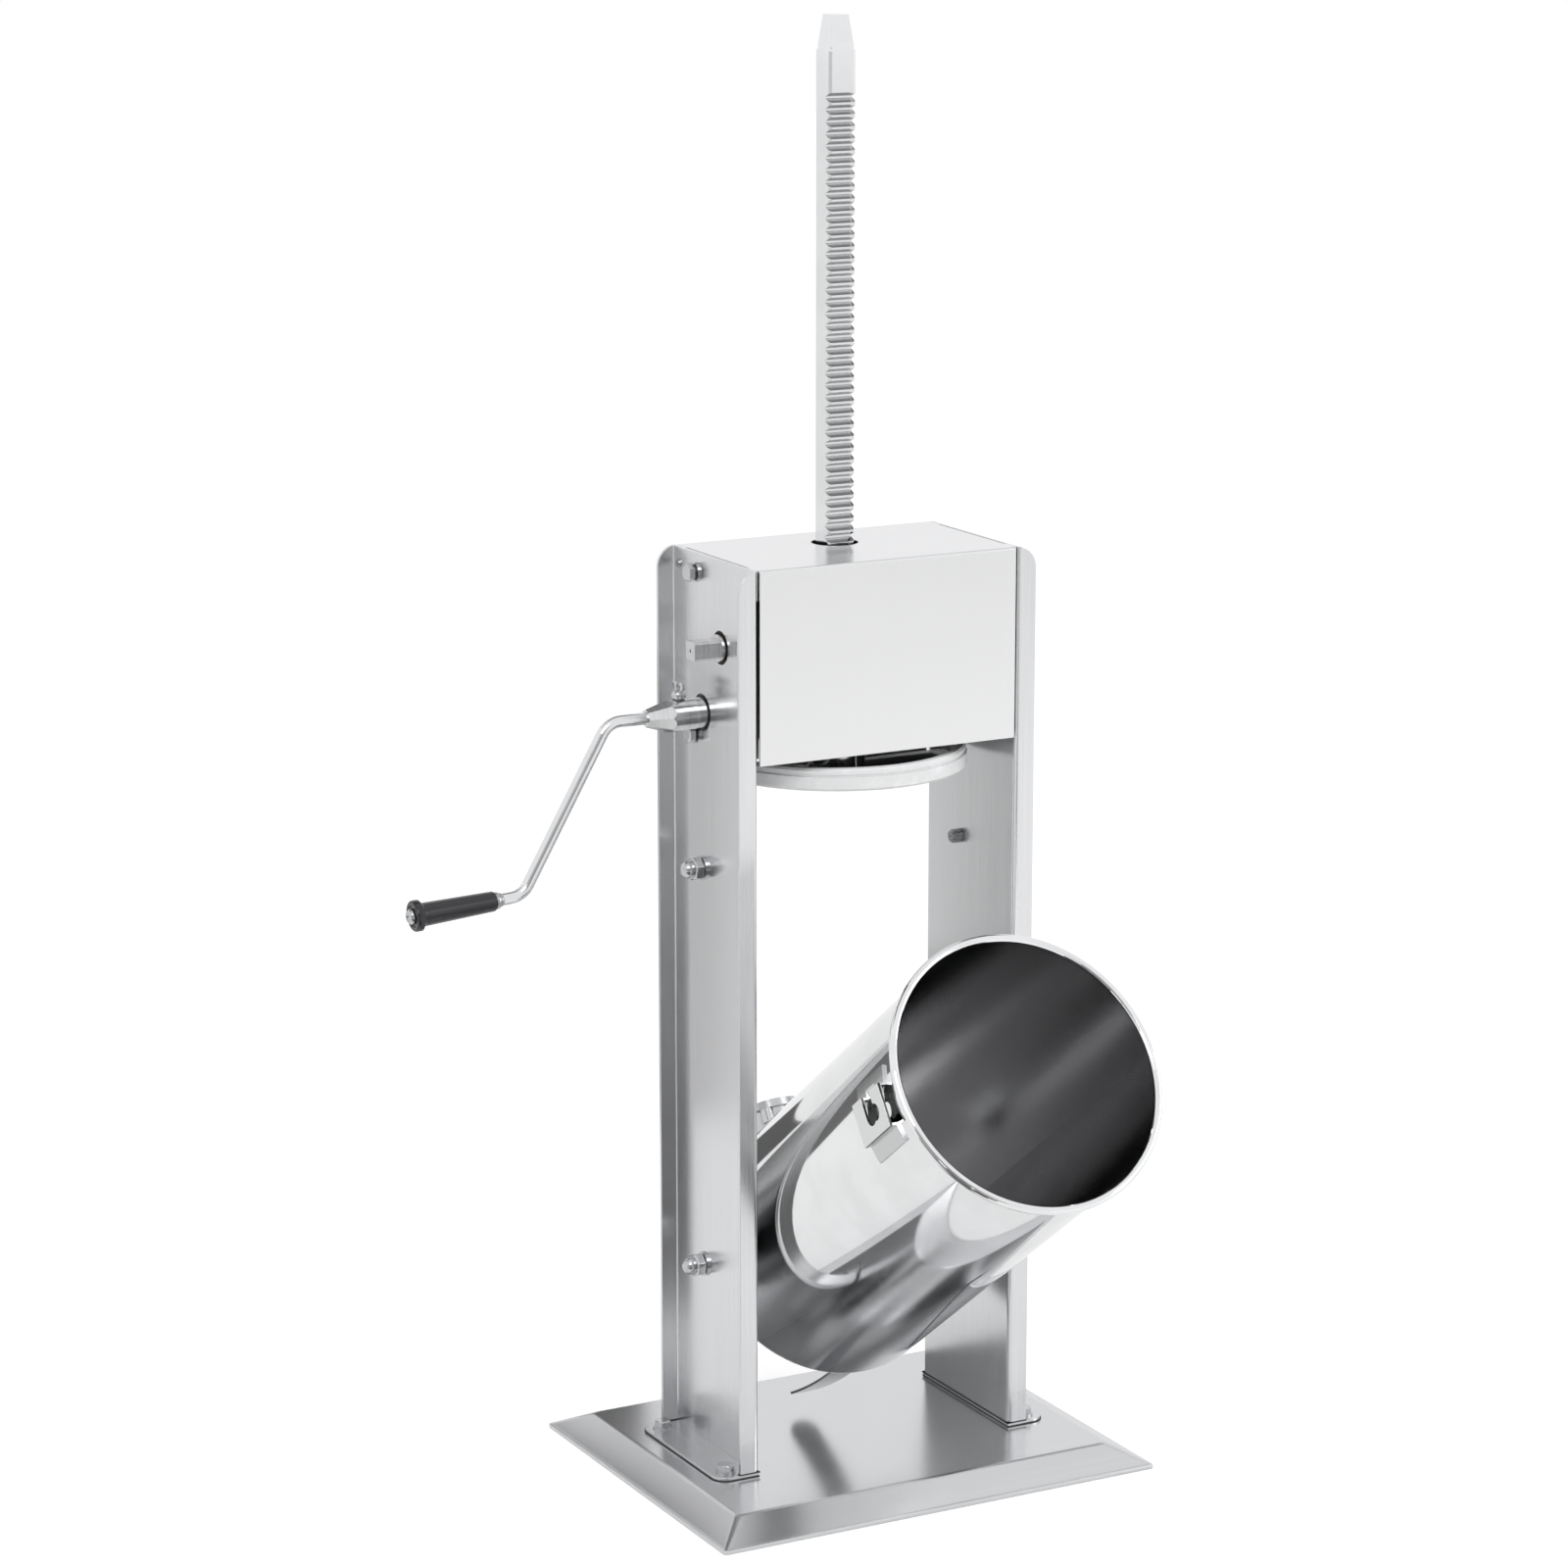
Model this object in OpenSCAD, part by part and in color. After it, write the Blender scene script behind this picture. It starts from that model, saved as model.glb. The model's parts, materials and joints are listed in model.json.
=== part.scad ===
// Vertical sausage stuffer: a tipping barrel between two columns, and a rack and piston driven by a
// two-speed gear train. Millimetres. +Z up, +X to the right seen from the front, -Y to the front.
// The origin is on the floor under the base's centre.
// The barrel is drawn tipped forward for filling, with the piston raised to the top of its travel.

/* [Stand] */
// Clear width between the inner faces of the two columns
column_gap = 234; // [222:1:260]
// Depth of a column, front to back
column_depth = 142; // [130:1:170]
// Thickness of the column sheet
column_wall = 3; // [2:0.5:4]
// Reach of a column's flanges beyond its inner face
flange_reach = 17; // [12:1:26]
// Height of the columns' top above the floor
stand_top = 760; // [750:1:800]
// Place of the columns' centre behind the base's centre
column_y = 7; // [-10:1:20]

/* [Base] */
// Width of the base at the floor
base_w = 398; // [380:1:460]
// Depth of the base at the floor
base_d = 323; // [290:1:380]
// Width of the flat top of the base
plateau_w = 341; // [330:1:370]
// Depth of the flat top of the base
plateau_d = 261; // [240:1:280]
// Height of the base's top above the floor
base_h = 18; // [12:1:20]
// Thickness of the base sheet
base_sheet = 2; // [1:0.5:3]
// Height of the upright lip round the base's edge
base_lip = 3; // [2:0.5:5]
// Width of a foot plate, out from the column's inner face
foot_reach = 37; // [34:1:44]
// Thickness of a foot plate
foot_t = 3; // [2:0.5:5]
// Corner radius of a foot plate
foot_corner = 13; // [6:1:16]
// Distance of the foot bolts from the column's inner face
foot_bolt_out = 23; // [21:1:25]
// Distance between a foot plate's two bolts
foot_bolt_span = 114; // [90:1:118]
// Distance of the foot bolts from the foot plate's front and back edges
foot_bolt_edge = 14; // [12:1:20]

/* [Gearbox cover] */
// Height of the cover
cover_h = 155; // [154:1:158]
// Thickness of the cover sheet
cover_sheet = 1.5; // [1:0.5:2]
// Gap between the cover's front edge and a column
cover_gap = 1.5; // [1:0.5:3]
// Diameter of the rack's hole in the cover's top
rack_hole_d = 38; // [34:1:44]
// Width of the cover's four side tabs
cover_tab_w = 15; // [13:1:15]
// Height of the cover's side tabs
cover_tab_h = 24; // [20:1:30]

/* [Gear train] */
// Place of the press axis, shared by rack, piston and upright barrel
press_y = 26; // [24:1:28]
// Height of the upper shaft
upper_shaft_z = 690; // [688:1:692]
// Place of the lower shaft behind the upper one
lower_shaft_dy = 32; // [30:1:34]
// Diameter of both shafts
shaft_d = 22; // [20:1:23]
// Diameter of the lower shaft where it carries its pinion
seat_d = 18; // [15:1:19]
// Width across the flats of the shafts' square ends
square_w = 15; // [14:0.5:16]
// Length of the upper shaft's square end
square_l = 23; // [18:1:30]
// Module of the gear teeth
tooth_module = 3; // [2.9:0.1:3]
// Pressure angle of the gear teeth
pressure_angle = 25; // [24:1:26]
// Teeth of the pinion that drives the rack
rack_pinion_teeth = 15; // [15:1:15]
// Teeth of the large gear on the upper shaft
large_gear_teeth = 32; // [32:1:32]
// Teeth of the small pinion on the lower shaft
small_pinion_teeth = 12; // [12:1:12]
// Face width of the rack pinion
rack_pinion_w = 26; // [22:1:34]
// Face width of the large gear
large_gear_w = 16; // [12:1:18]
// Backlash on each flank
flank_gap = 0.12; // [0.08:0.01:0.2]

/* [Gear frame] */
// Thickness of the frame's side plates
frame_t = 12; // [10:1:14]
// Thickness of the frame's back and inner plates
frame_back_t = 8; // [6:1:8]
// Height of the frame
frame_h = 145; // [142:1:148]
// Distance of the inner plate from the left column
inner_plate_x = 47; // [46:1:56]
// Outer diameter of the bushes
bush_d = 28; // [26:1:30]
// Flange thickness of the bushes
bush_flange_t = 3; // [2:0.5:4]
// Distance from the press axis to the rack guide's outer faces
guide_side = 20; // [18:1:24]
// Height of the rack guide
guide_h = 100; // [80:1:110]

/* [Rack and piston] */
// Width and depth of the rack bar
rack_w = 24; // [22:1:25]
// Chamfer on the rack's long edges
rack_chamfer = 2; // [1:0.5:3]
// Height of the rack's top above the floor
rack_top = 1178; // [1170:1:1210]
// Length of the rack's tapered tip
rack_tip_l = 28; // [20:1:32]
// Width of the rack's tip at its end
rack_tip_w = 15; // [12:1:16]
// Tooth gaps above the upper shaft
rack_gaps_above = 45; // [40:1:46]
// Tooth gaps below the upper shaft
rack_gaps_below = 5; // [4:1:7]
// Height of the piston's underside above the floor
piston_z = 579; // [577:1:582]
// Height of the piston gasket
gasket_h = 18; // [16:1:22]
// Thickness of the piston plate
piston_t = 6; // [5:1:7]
// Lift of the air valve
valve_lift = 3; // [2:0.5:3]

/* [Barrel] */
// Outer diameter of the barrel
barrel_d = 218; // [210:1:218]
// Length of the barrel
barrel_l = 400; // [360:1:402]
// Thickness of the barrel sheet
barrel_wall = 1.2; // [1:0.1:2]
// Diameter of the rolled bead round the rim
bead_d = 7; // [5:0.5:7]
// Tilt of the barrel from upright
barrel_tilt = 53.75; // [0:0.25:53.75]
// Place of the tipping pivot, front to back
pivot_y = 26; // [24:1:28]
// Height of the tipping pivot
pivot_z = 172; // [168:1:176]
// Height of the pivot above the barrel's foot
pivot_rise = 17; // [15:1:30]
// Place of the latch studs, front to back
latch_y = 26; // [24:1:28]
// Distance of the latch studs below the upright barrel's rim
latch_drop = 50; // [44:1:75]
// Inner bore of the outlet tube
outlet_d = 38; // [30:1:40]
// Drop of the outlet's axis below the barrel's foot
outlet_drop = 27; // [26:1:32]
// Reach of the outlet beyond the barrel's wall
outlet_reach = 22; // [18:1:34]
// Outer diameter of the outlet's ring nut
ring_nut_d = 62; // [58:1:70]
// Length of the ring nut
ring_nut_l = 20; // [16:1:20]

/* [Tipping handle] */
// Width of the handle strip
handle_w = 25; // [18:1:32]
// Reach of the handle below the barrel's foot
handle_l = 92; // [70:1:93]
// Thickness of the handle strip
handle_t = 2; // [1.5:0.5:2.5]
// Place of the handle to the left of the barrel's middle
handle_offset = 14; // [0:1:16]
// Bending radius of the handle strip
handle_bend = 420; // [400:10:900]

/* [Crank] */
// Diameter of the lower shaft's collar outside the column
collar_d = 25; // [23:0.5:26]
// Length of that collar beyond the column
collar_l = 8; // [8:0.5:11]
// Outer diameter of the crank hub
hub_d = 26; // [25:0.5:28]
// Length of the crank hub, with its cone
hub_l = 42; // [38:1:50]
// Diameter of the crank rod
rod_d = 10; // [8:0.5:11]
// Distance of the first bend from the column's outer face
bend_out = 83; // [76:1:96]
// Drop of the grip below the shaft
crank_drop = 132; // [110:1:150]
// Slope of the crank's arm
arm_angle = 60; // [50:1:75]
// Radius of the crank's bends
bend_r = 18; // [14:1:22]
// Droop of the grip from level
grip_droop = 3.3; // [0:0.1:4]
// Length of the grip
grip_l = 70; // [60:1:90]
// Diameter of the grip at its inner end
grip_inner_d = 16; // [15:0.5:20]
// Diameter of the grip at its outer end
grip_outer_d = 19; // [16:0.5:24]
// Diameter of the grip's end flange
grip_flange_d = 25; // [23:0.5:30]

/* [Studs and bolts] */
// Inner diameter of the pivot and latch studs
stud_d = 12; // [10:0.5:12]
// Thread diameter of the studs
stud_thread_d = 10; // [8:1:10]
// Reach of the studs inside the columns
stud_reach = 7.3; // [6:0.1:7.5]
// Width across the flats of the cap nuts
cap_nut_w = 17; // [15:1:18]
// Thread diameter of the hexagon bolts
bolt_d = 8; // [6:1:8]
// Width across the flats of the hexagon bolts' heads
bolt_head_w = 13; // [12:1:14]
// Thread diameter of the cover's screws
screw_d = 4; // [3:0.5:5]

/* [Fits] */
// Radial clearance of shafts in their bushes
run_gap = 0.05; // [0.02:0.01:0.1]
// Clearance of parts that slide or swing past each other
slide_gap = 0.3; // [0.2:0.05:0.5]
// Radial clearance of bolts in their holes
bolt_gap = 0.25; // [0.1:0.05:0.5]
// Clearance of the piston gasket in the barrel
gasket_gap = 0.4; // [0.2:0.1:1]

/* [Hidden] */
$fn = 64;
over = 1; // overrun of every cut beyond the face that it opens

web_x = column_gap / 2;
web_out_x = web_x + column_wall;
column_front = column_y - column_depth / 2;
column_back = column_y + column_depth / 2;
foot_top = base_h + foot_t;
foot_depth = max(column_depth, foot_bolt_span + 2 * foot_bolt_edge);
foot_front = column_y - foot_depth / 2;
foot_back = column_y + foot_depth / 2;
column_fold = column_wall * 4 / 3;
foot_bolt_x = web_x + foot_bolt_out;
sides = [-1, 1];

// Fasteners in shares of their thread or head
bolt_head_share = 0.66;
washer_share = 2;
washer_t_share = 0.2;
nut_share = 0.8;
cap_share = 0.95;
bolt_head_h = bolt_d * bolt_head_share;
washer_d = bolt_d * washer_share;
washer_t = bolt_d * washer_t_share;
spring_d = bolt_d * 1.6;
spring_t = bolt_d / 4;
spring_slit = bolt_d / 8;
nut_h = bolt_d * nut_share;
stud_tip = stud_d / 10;
stud_washer_d = stud_thread_d * washer_share;
stud_washer_t = stud_thread_d * washer_t_share;
cap_hex_h = stud_thread_d * nut_share;

// Gears
upper_shaft_y = press_y - rack_w / 2 + tooth_module - rack_pinion_teeth * tooth_module / 2;
centre_distance = (large_gear_teeth + small_pinion_teeth) * tooth_module / 2;
lower_shaft_y = upper_shaft_y + lower_shaft_dy;
lower_shaft_z = upper_shaft_z - sqrt(centre_distance * centre_distance - lower_shaft_dy * lower_shaft_dy);
mesh_angle = atan2(lower_shaft_z - upper_shaft_z, lower_shaft_dy);
tooth_pitch = PI * tooth_module;
dedendum = 1.25 * tooth_module;
gear_tip_r = (large_gear_teeth / 2 + 1) * tooth_module;
web_hole_gap = 2.5 * screw_d / 4;
web_hole_r = shaft_d / 2 + web_hole_gap;
square_corner_share = 1.27;
key_w_share = 0.28;
key_w = shaft_d * key_w_share;
seat_key_w = seat_d * key_w_share;

// Gear frame
cover_bottom = stand_top - cover_h;
cover_w = column_gap - 2 * cover_gap;
cover_clear = (cover_h - frame_h) / 8;
frame_bottom = cover_bottom + cover_clear;
pinion_tip_r = (small_pinion_teeth / 2 + 1) * tooth_module;
frame_back = lower_shaft_y + pinion_tip_r + tooth_module + frame_back_t;
frame_front = upper_shaft_y - bush_d * 1.3;
plate_in_x = web_x - frame_t;
flange_in_x = plate_in_x - bush_flange_t;
inner_left_x = -web_x + inner_plate_x;
inner_right_x = inner_left_x + frame_back_t;
inner_flange_x = inner_left_x - bush_flange_t;
bush_flange_d = bush_d * 1.22;
gear_left_x = -flange_in_x + tooth_module * 3;
gear_right_x = gear_left_x + large_gear_w;
hub_right_x = gear_right_x + tooth_module;
spacer_d = shaft_d * 1.2;
frame_bolt_in = bolt_d * 0.9;
frame_bolt_y = upper_shaft_y + bush_d * 1.5;
frame_bolt_high_z = frame_bottom + frame_h - frame_bolt_in;
frame_bolt_low_z = frame_bottom + frame_bolt_in;
frame_bolt_l = frame_t * 0.8;
guide_back = press_y + rack_w / 2 + slide_gap;
guide_front = upper_shaft_y + (rack_pinion_teeth / 2 + 1) * tooth_module + slide_gap * 4;
guide_bolt_d = bolt_d * 0.75;
guide_bolt_spread = guide_h * 0.6;

// Cover screws
tab_relief = 2 * cover_sheet;
cover_fold = cover_sheet * 3 / 2;
screw_in = cover_tab_w * 0.75;
screw_drop = cover_tab_h * 0.54;
screw_head_d = screw_d * 2;
screw_head_h = screw_d * 0.6;

// Rack and piston
rack_front = press_y - rack_w / 2;
rack_shoulder = rack_top - rack_tip_l;
rack_slope = rack_w * 0.12;
plate_under = piston_z + gasket_h * 0.22;
plate_top = plate_under + piston_t;
bore_r = barrel_d / 2 - barrel_wall;
gasket_r = bore_r - gasket_gap;
plate_r = gasket_r - gasket_h / 3;
gasket_lip_r = plate_r - gasket_h / 3;
groove = gasket_h * 0.1;
piston_hub_r = rack_w * 1.05;
piston_hub_h = rack_w * 0.5;
piston_bolt_d = rack_w * 0.5;
piston_bolt_l = rack_w * 1.4;
valve_at = plate_r * 0.55;
valve_stem_r = piston_t * 0.6;
valve_foot_r = valve_stem_r * 1.6;
valve_cap_r = valve_stem_r * 2.6;
valve_web = piston_t / 4;

// Barrel, in its own upright frame with the pivot as the origin
latch_z = pivot_z - pivot_rise + barrel_l - latch_drop;
barrel_r = barrel_d / 2;
barrel_axis = press_y - pivot_y;
barrel_foot = -pivot_rise;
barrel_top = barrel_l - pivot_rise;
bead_r = bead_d / 2;
bead_at_r = bore_r + bead_r;
cap_t = barrel_wall;
foot_round = 2.5 * barrel_wall;
shell_foot = barrel_foot - cap_t + foot_round;
foot_steps = 4;
outlet_wall = outlet_d * 0.07;
outlet_r = outlet_d / 2 + outlet_wall;
outlet_end = barrel_r + outlet_reach;
outlet_bend = outlet_drop - cap_t;
hook_t = barrel_wall * 5 / 3;
hook_out_x = web_x - bead_d / 4;
hook_in_x = hook_out_x - hook_t;
latch_local_y = latch_y - pivot_y;
latch_local_z = latch_z - pivot_z;
latch_slot_r = stud_d / 2 + slide_gap * 6;
latch_half_w = stud_d * 1.45;
latch_half_h = stud_d * 2;
tab_reach = stud_d * 1.15;
pivot_half_w = stud_d * 1.25;
pivot_low = barrel_foot + foot_round;
pivot_high = stud_d * 1.3;
cap_nut_h = stud_thread_d * cap_share + cap_hex_h;

// Crank
square_start_x = web_out_x + web_hole_r / 4;
hub_start_x = web_out_x + collar_l;
hub_cone_share = 0.52;
hub_cone = hub_l * hub_cone_share;
hub_end_x = hub_start_x + hub_l;
lower_end_x = hub_end_x - hub_cone - slide_gap;
bend_steps = 6;
grip_bore = rod_d * 0.8;
grip_lead = grip_l * 0.12;
ferrule_l = grip_l * 0.09;
wing_x = hub_start_x + (hub_l - hub_cone) * 0.63;
wing_d = hub_d * 0.24;
hub_flats = 8;
flat_slope = atan((hub_d - rod_d * 1.35) / 2 / hub_cone);
arm_l = (crank_drop - bend_r * (1 + cos(grip_droop) - 2 * cos(arm_angle))) / sin(arm_angle);
hub_run = bend_out - bend_r * tan(arm_angle / 2) - (hub_end_x - web_out_x) + hub_cone;

// A round bar along X between two places
module x_bar(x0, x1, d) {
    translate([x0, 0, 0]) rotate([0, 90, 0]) cylinder(h = x1 - x0, d = d);
}

// A flat sheet drawn in Y and Z, thickened along X from a place
module x_plate(x0, t) {
    translate([x0, 0, 0]) rotate([90, 0, 90]) linear_extrude(height = t) children();
}

// A hexagon bar along X between two places
module x_hexagon(x0, x1, across) {
    x_plate(x0, x1 - x0) circle(d = across / cos(30), $fn = 6);
}

// A block between two corners
module block(low, high) {
    translate(low) cube(high - low);
}

// Sheet outline with round corners
module rounded(w, d, r) {
    hull() for (x = sides, y = sides) translate([x * (w / 2 - r), y * (d / 2 - r)]) circle(r = r, $fn = 32);
}

// A hexagon bolt along +Z: its head stands on the plane through the origin and its shank hangs below
module hexagon_bolt(d, across, head_h, shank) {
    linear_extrude(height = head_h * 0.85) circle(d = across / cos(30), $fn = 6);
    translate([0, 0, head_h * 0.85]) cylinder(h = head_h * 0.15, d1 = across, d2 = across * 0.86);
    translate([0, 0, -shank]) cylinder(h = shank, d = d);
}

// A flat ring on the plane through the origin
module washer(d_out, d_in, t) {
    difference() {
        cylinder(h = t, d = d_out);
        translate([0, 0, -over]) cylinder(h = t + 2 * over, d = d_in);
    }
}

// Involute tooth outline
function involute(a) = tan(a) * 180 / PI - a;
function half_tooth(teeth, r) = let (pitch_r = teeth * tooth_module / 2,
    base_r = pitch_r * cos(pressure_angle))
    90 / teeth - flank_gap / pitch_r * 180 / PI + involute(pressure_angle)
    - involute(acos(min(1, base_r / max(r, base_r))));
function gear_points(teeth) = let (pitch_r = teeth * tooth_module / 2, root = pitch_r - dedendum,
    tip = pitch_r + tooth_module, steps = 5)
    [for (i = [0 : teeth - 1], side = [-1, 1], k = [0 : steps])
        let (r = side < 0 ? root + (tip - root) * k / steps : tip - (tip - root) * k / steps,
            a = 360 * i / teeth + side * half_tooth(teeth, r)) [r * cos(a), r * sin(a)]];

// A spur gear round the X axis, with one tooth centred at an angle from +Y
module gear(teeth, x0, w, angle) {
    x_plate(x0, w) rotate(angle) polygon(gear_points(teeth));
}

// A key that lies half in its shaft, on its lower side
module key_bar(x0, x1, d, w) {
    block([x0, -w / 2, -d / 2 - w / 2], [x1, w / 2, -d / 2 + w / 2]);
}

// Places that repeat
module at_upper() { translate([0, upper_shaft_y, upper_shaft_z]) children(); }
module at_lower() { translate([0, lower_shaft_y, lower_shaft_z]) children(); }
module at_foot_bolts() {
    for (x = sides, y = sides) translate([x * foot_bolt_x, column_y + y * foot_bolt_span / 2, 0]) children();
}
module at_frame_bolts() {
    for (x = sides, z = [frame_bolt_low_z, frame_bolt_high_z])
        translate([0, frame_bolt_y, z]) mirror([x > 0 ? 0 : 1, 0, 0]) children();
}
module at_cover_screws() {
    for (x = sides, y = [column_front + tab_relief + screw_in, column_back - tab_relief - screw_in])
        translate([0, y, stand_top - screw_drop]) mirror([x > 0 ? 0 : 1, 0, 0]) children();
}
module at_studs() {
    for (x = sides, place = [[latch_y, latch_z], [pivot_y, pivot_z]])
        translate([0, place[0], place[1]]) mirror([x > 0 ? 0 : 1, 0, 0]) children();
}

// Stand
module base_shell(w, d, flat_w, flat_d, h, lip) {
    corner = base_lip;
    hull() {
        linear_extrude(height = lip) rounded(w, d, corner);
        translate([0, 0, h - lip / 4]) linear_extrude(height = lip / 4) rounded(flat_w, flat_d, corner * 2);
        translate([0, 0, h - lip / 2]) linear_extrude(height = lip / 4)
            rounded(flat_w + lip * 1.6, flat_d + lip * 1.6, corner * 2);
    }
}

module base_plate() {
    color("silver") difference() {
        base_shell(base_w, base_d, plateau_w, plateau_d, base_h, base_lip);
        translate([0, 0, -over]) base_shell(base_w - 2 * base_sheet, base_d - 2 * base_sheet,
            plateau_w - base_sheet, plateau_d - base_sheet, base_h - base_sheet + over, base_lip + over);
        at_foot_bolts() translate([0, 0, base_h / 2]) cylinder(h = base_h, r = bolt_d / 2 + bolt_gap);
    }
}

module foot_plate(side) {
    color("silver") difference() {
        union() {
            for (y = [foot_front + foot_corner, foot_back - foot_corner])
                translate([side * (web_x + foot_reach - foot_corner), y, base_h])
                    cylinder(h = foot_t, r = foot_corner);
            block([side > 0 ? web_x : -web_x - foot_reach, foot_front + foot_corner, base_h],
                [side > 0 ? web_x + foot_reach : -web_x, foot_back - foot_corner, foot_top]);
            block([side > 0 ? web_x : -web_x - foot_reach + foot_corner, foot_front, base_h],
                [side > 0 ? web_x + foot_reach - foot_corner : -web_x, foot_back, foot_top]);
        }
        at_foot_bolts() translate([0, 0, base_h / 2]) cylinder(h = base_h, r = bolt_d / 2 + bolt_gap);
    }
}

// A fold's outline: a block between two corners whose two corners at the low X are round
module folded(low, high, r) {
    translate([low[0] + r, low[1]]) square([high[0] - low[0] - r, high[1] - low[1]]);
    translate([low[0], low[1] + r]) square([r, high[1] - low[1] - 2 * r]);
    for (y = [low[1] + r, high[1] - r]) translate([low[0] + r, y]) circle(r = r);
}

// One column with its flanges outwards; the left one has the holes for the two shafts
module column(side) {
    color("silver") difference() {
        mirror([side > 0 ? 0 : 1, 0, 0]) translate([0, 0, foot_top])
            linear_extrude(height = stand_top - foot_top) difference() {
                folded([web_x, column_front], [web_x + flange_reach, column_back], column_fold);
                folded([web_out_x, column_front + column_wall],
                    [web_x + flange_reach + over, column_back - column_wall], column_fold - column_wall);
            }
        translate([side * web_x, column_front - over, stand_top - flange_reach]) rotate([-90, 0, 0])
            difference() {
                translate([side > 0 ? 0 : -flange_reach - over, -flange_reach - over, 0])
                    cube([flange_reach + over, flange_reach + over, column_depth + 2 * over]);
                translate([0, 0, -over]) cylinder(h = column_depth + 4 * over, r = flange_reach);
            }
        at_frame_bolts() x_bar(web_x - over, web_out_x + over, bolt_d + 2 * bolt_gap);
        at_cover_screws() x_bar(web_x - over, web_out_x + over, screw_d + bolt_gap);
        at_studs() x_bar(web_x - over, web_out_x + over, stud_thread_d + bolt_gap);
        if (side < 0) {
            at_upper() x_bar(-web_out_x - over, -web_x + over, 2 * web_hole_r);
            at_lower() x_bar(-web_out_x - over, -web_x + over, collar_d + 2 * web_hole_gap);
        }
    }
}

module foot_bolts() {
    color("silver") at_foot_bolts() translate([0, 0, foot_top + washer_t])
        hexagon_bolt(bolt_d, bolt_head_w, bolt_head_h, foot_t + washer_t + base_sheet + nut_h * 1.3);
}

module foot_washers() {
    color("silver") at_foot_bolts() translate([0, 0, foot_top])
        washer(washer_d, bolt_d + 2 * bolt_gap, washer_t);
}

module foot_nuts() {
    color("silver") at_foot_bolts() translate([0, 0, base_h - base_sheet - nut_h]) difference() {
        linear_extrude(height = nut_h) circle(d = bolt_head_w / cos(30), $fn = 6);
        translate([0, 0, -over]) cylinder(h = nut_h + 2 * over, d = bolt_d);
    }
}

// Gearbox cover: front, top and back in one folded sheet, with four tabs turned down against the columns
module gearbox_cover() {
    tab_low = stand_top - cover_tab_h;
    color("gainsboro") difference() {
        union() {
            translate([-cover_w / 2, 0, 0]) rotate([0, 90, 0]) linear_extrude(height = cover_w) difference() {
                folded([-stand_top, column_front], [-cover_bottom, column_back], cover_fold);
                folded([cover_sheet - stand_top, column_front + cover_sheet],
                    [over - cover_bottom, column_back - cover_sheet], cover_fold - cover_sheet);
            }
            for (side = sides) {
                x0 = side > 0 ? web_x - cover_sheet : -web_x;
                x_in = side > 0 ? cover_w / 2 - cover_sheet : -web_x;
                for (y = [column_front + tab_relief, column_back - tab_relief - cover_tab_w]) {
                    block([x_in, y, stand_top - cover_sheet],
                        [x_in + cover_sheet + cover_gap, y + cover_tab_w, stand_top]);
                    block([x0, y, tab_low], [x0 + cover_sheet, y + cover_tab_w, stand_top]);
                }
            }
        }
        translate([0, press_y, stand_top - cover_sheet - over])
            cylinder(h = cover_sheet + 2 * over, d = rack_hole_d);
        at_cover_screws() x_bar(web_x - cover_sheet - over, web_x + over, screw_d);
    }
}

module cover_screws() {
    color("silver") at_cover_screws() {
        x_bar(web_x - cover_sheet * 3, web_out_x, screw_d);
        translate([web_out_x, 0, 0]) rotate([0, 90, 0])
            cylinder(h = screw_head_h, d1 = screw_head_d, d2 = screw_head_d * 0.6);
    }
}

// Gear frame: two side plates joined by a back plate, with an inner plate for the lower shaft's end
module gear_frame() {
    frame_top = frame_bottom + frame_h;
    color("dimgray") difference() {
        union() {
            for (x = [-web_x, plate_in_x])
                block([x, frame_front, frame_bottom], [x + frame_t, frame_back, frame_top]);
            block([-web_x, frame_back - frame_back_t, frame_bottom], [web_x, frame_back, frame_top]);
            block([inner_left_x, frame_front, frame_bottom], [inner_right_x, frame_back, frame_top]);
        }
        at_upper() {
            x_bar(-web_x - over, -plate_in_x + over, bush_d);
            x_bar(inner_left_x - over, inner_right_x + over, spacer_d + 4 * slide_gap);
            x_bar(plate_in_x - over, web_x + over, bush_d);
        }
        at_lower() {
            x_bar(-web_x - over, -plate_in_x + over, bush_d);
            x_bar(inner_left_x - over, inner_right_x + over, bush_d);
        }
        at_frame_bolts() x_bar(web_x - frame_bolt_l, web_x + over, bolt_d);
        for (z = sides) translate([0, frame_back + over, upper_shaft_z + z * guide_bolt_spread / 2])
            rotate([90, 0, 0]) cylinder(h = frame_back_t + 2 * over, d = guide_bolt_d + bolt_gap);
    }
}

module frame_bolts() {
    color("silver") at_frame_bolts() translate([web_out_x + washer_t + spring_t, 0, 0]) rotate([0, 90, 0])
        hexagon_bolt(bolt_d, bolt_head_w, bolt_head_h, spring_t + washer_t + column_wall + frame_bolt_l);
}

// Split rings between the frame bolts' heads and their washers
module spring_washers() {
    color("gray") at_frame_bolts() translate([web_out_x + washer_t, 0, 0]) rotate([0, 90, 0]) difference() {
        washer(spring_d, bolt_d + 2 * bolt_gap, spring_t);
        block([0, -spring_slit / 2, -over], [spring_d, spring_slit / 2, spring_t + over]);
    }
}

module frame_washers() {
    color("silver") at_frame_bolts() translate([web_out_x, 0, 0]) rotate([0, 90, 0])
        washer(washer_d, bolt_d + 2 * bolt_gap, washer_t);
}

// A flanged bush along X: its flange lies on the plate's face at x1 when side is 1, at x0 when side is -1
module bush(x0, x1, side, bore) {
    difference() {
        union() {
            x_bar(x0, x1, bush_d);
            if (side > 0) x_bar(x1, x1 + bush_flange_t, bush_flange_d);
            if (side < 0) x_bar(x0 - bush_flange_t, x0, bush_flange_d);
        }
        x_bar(x0 - bush_flange_t - over, x1 + bush_flange_t + over, bore + 2 * run_gap);
    }
}

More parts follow.
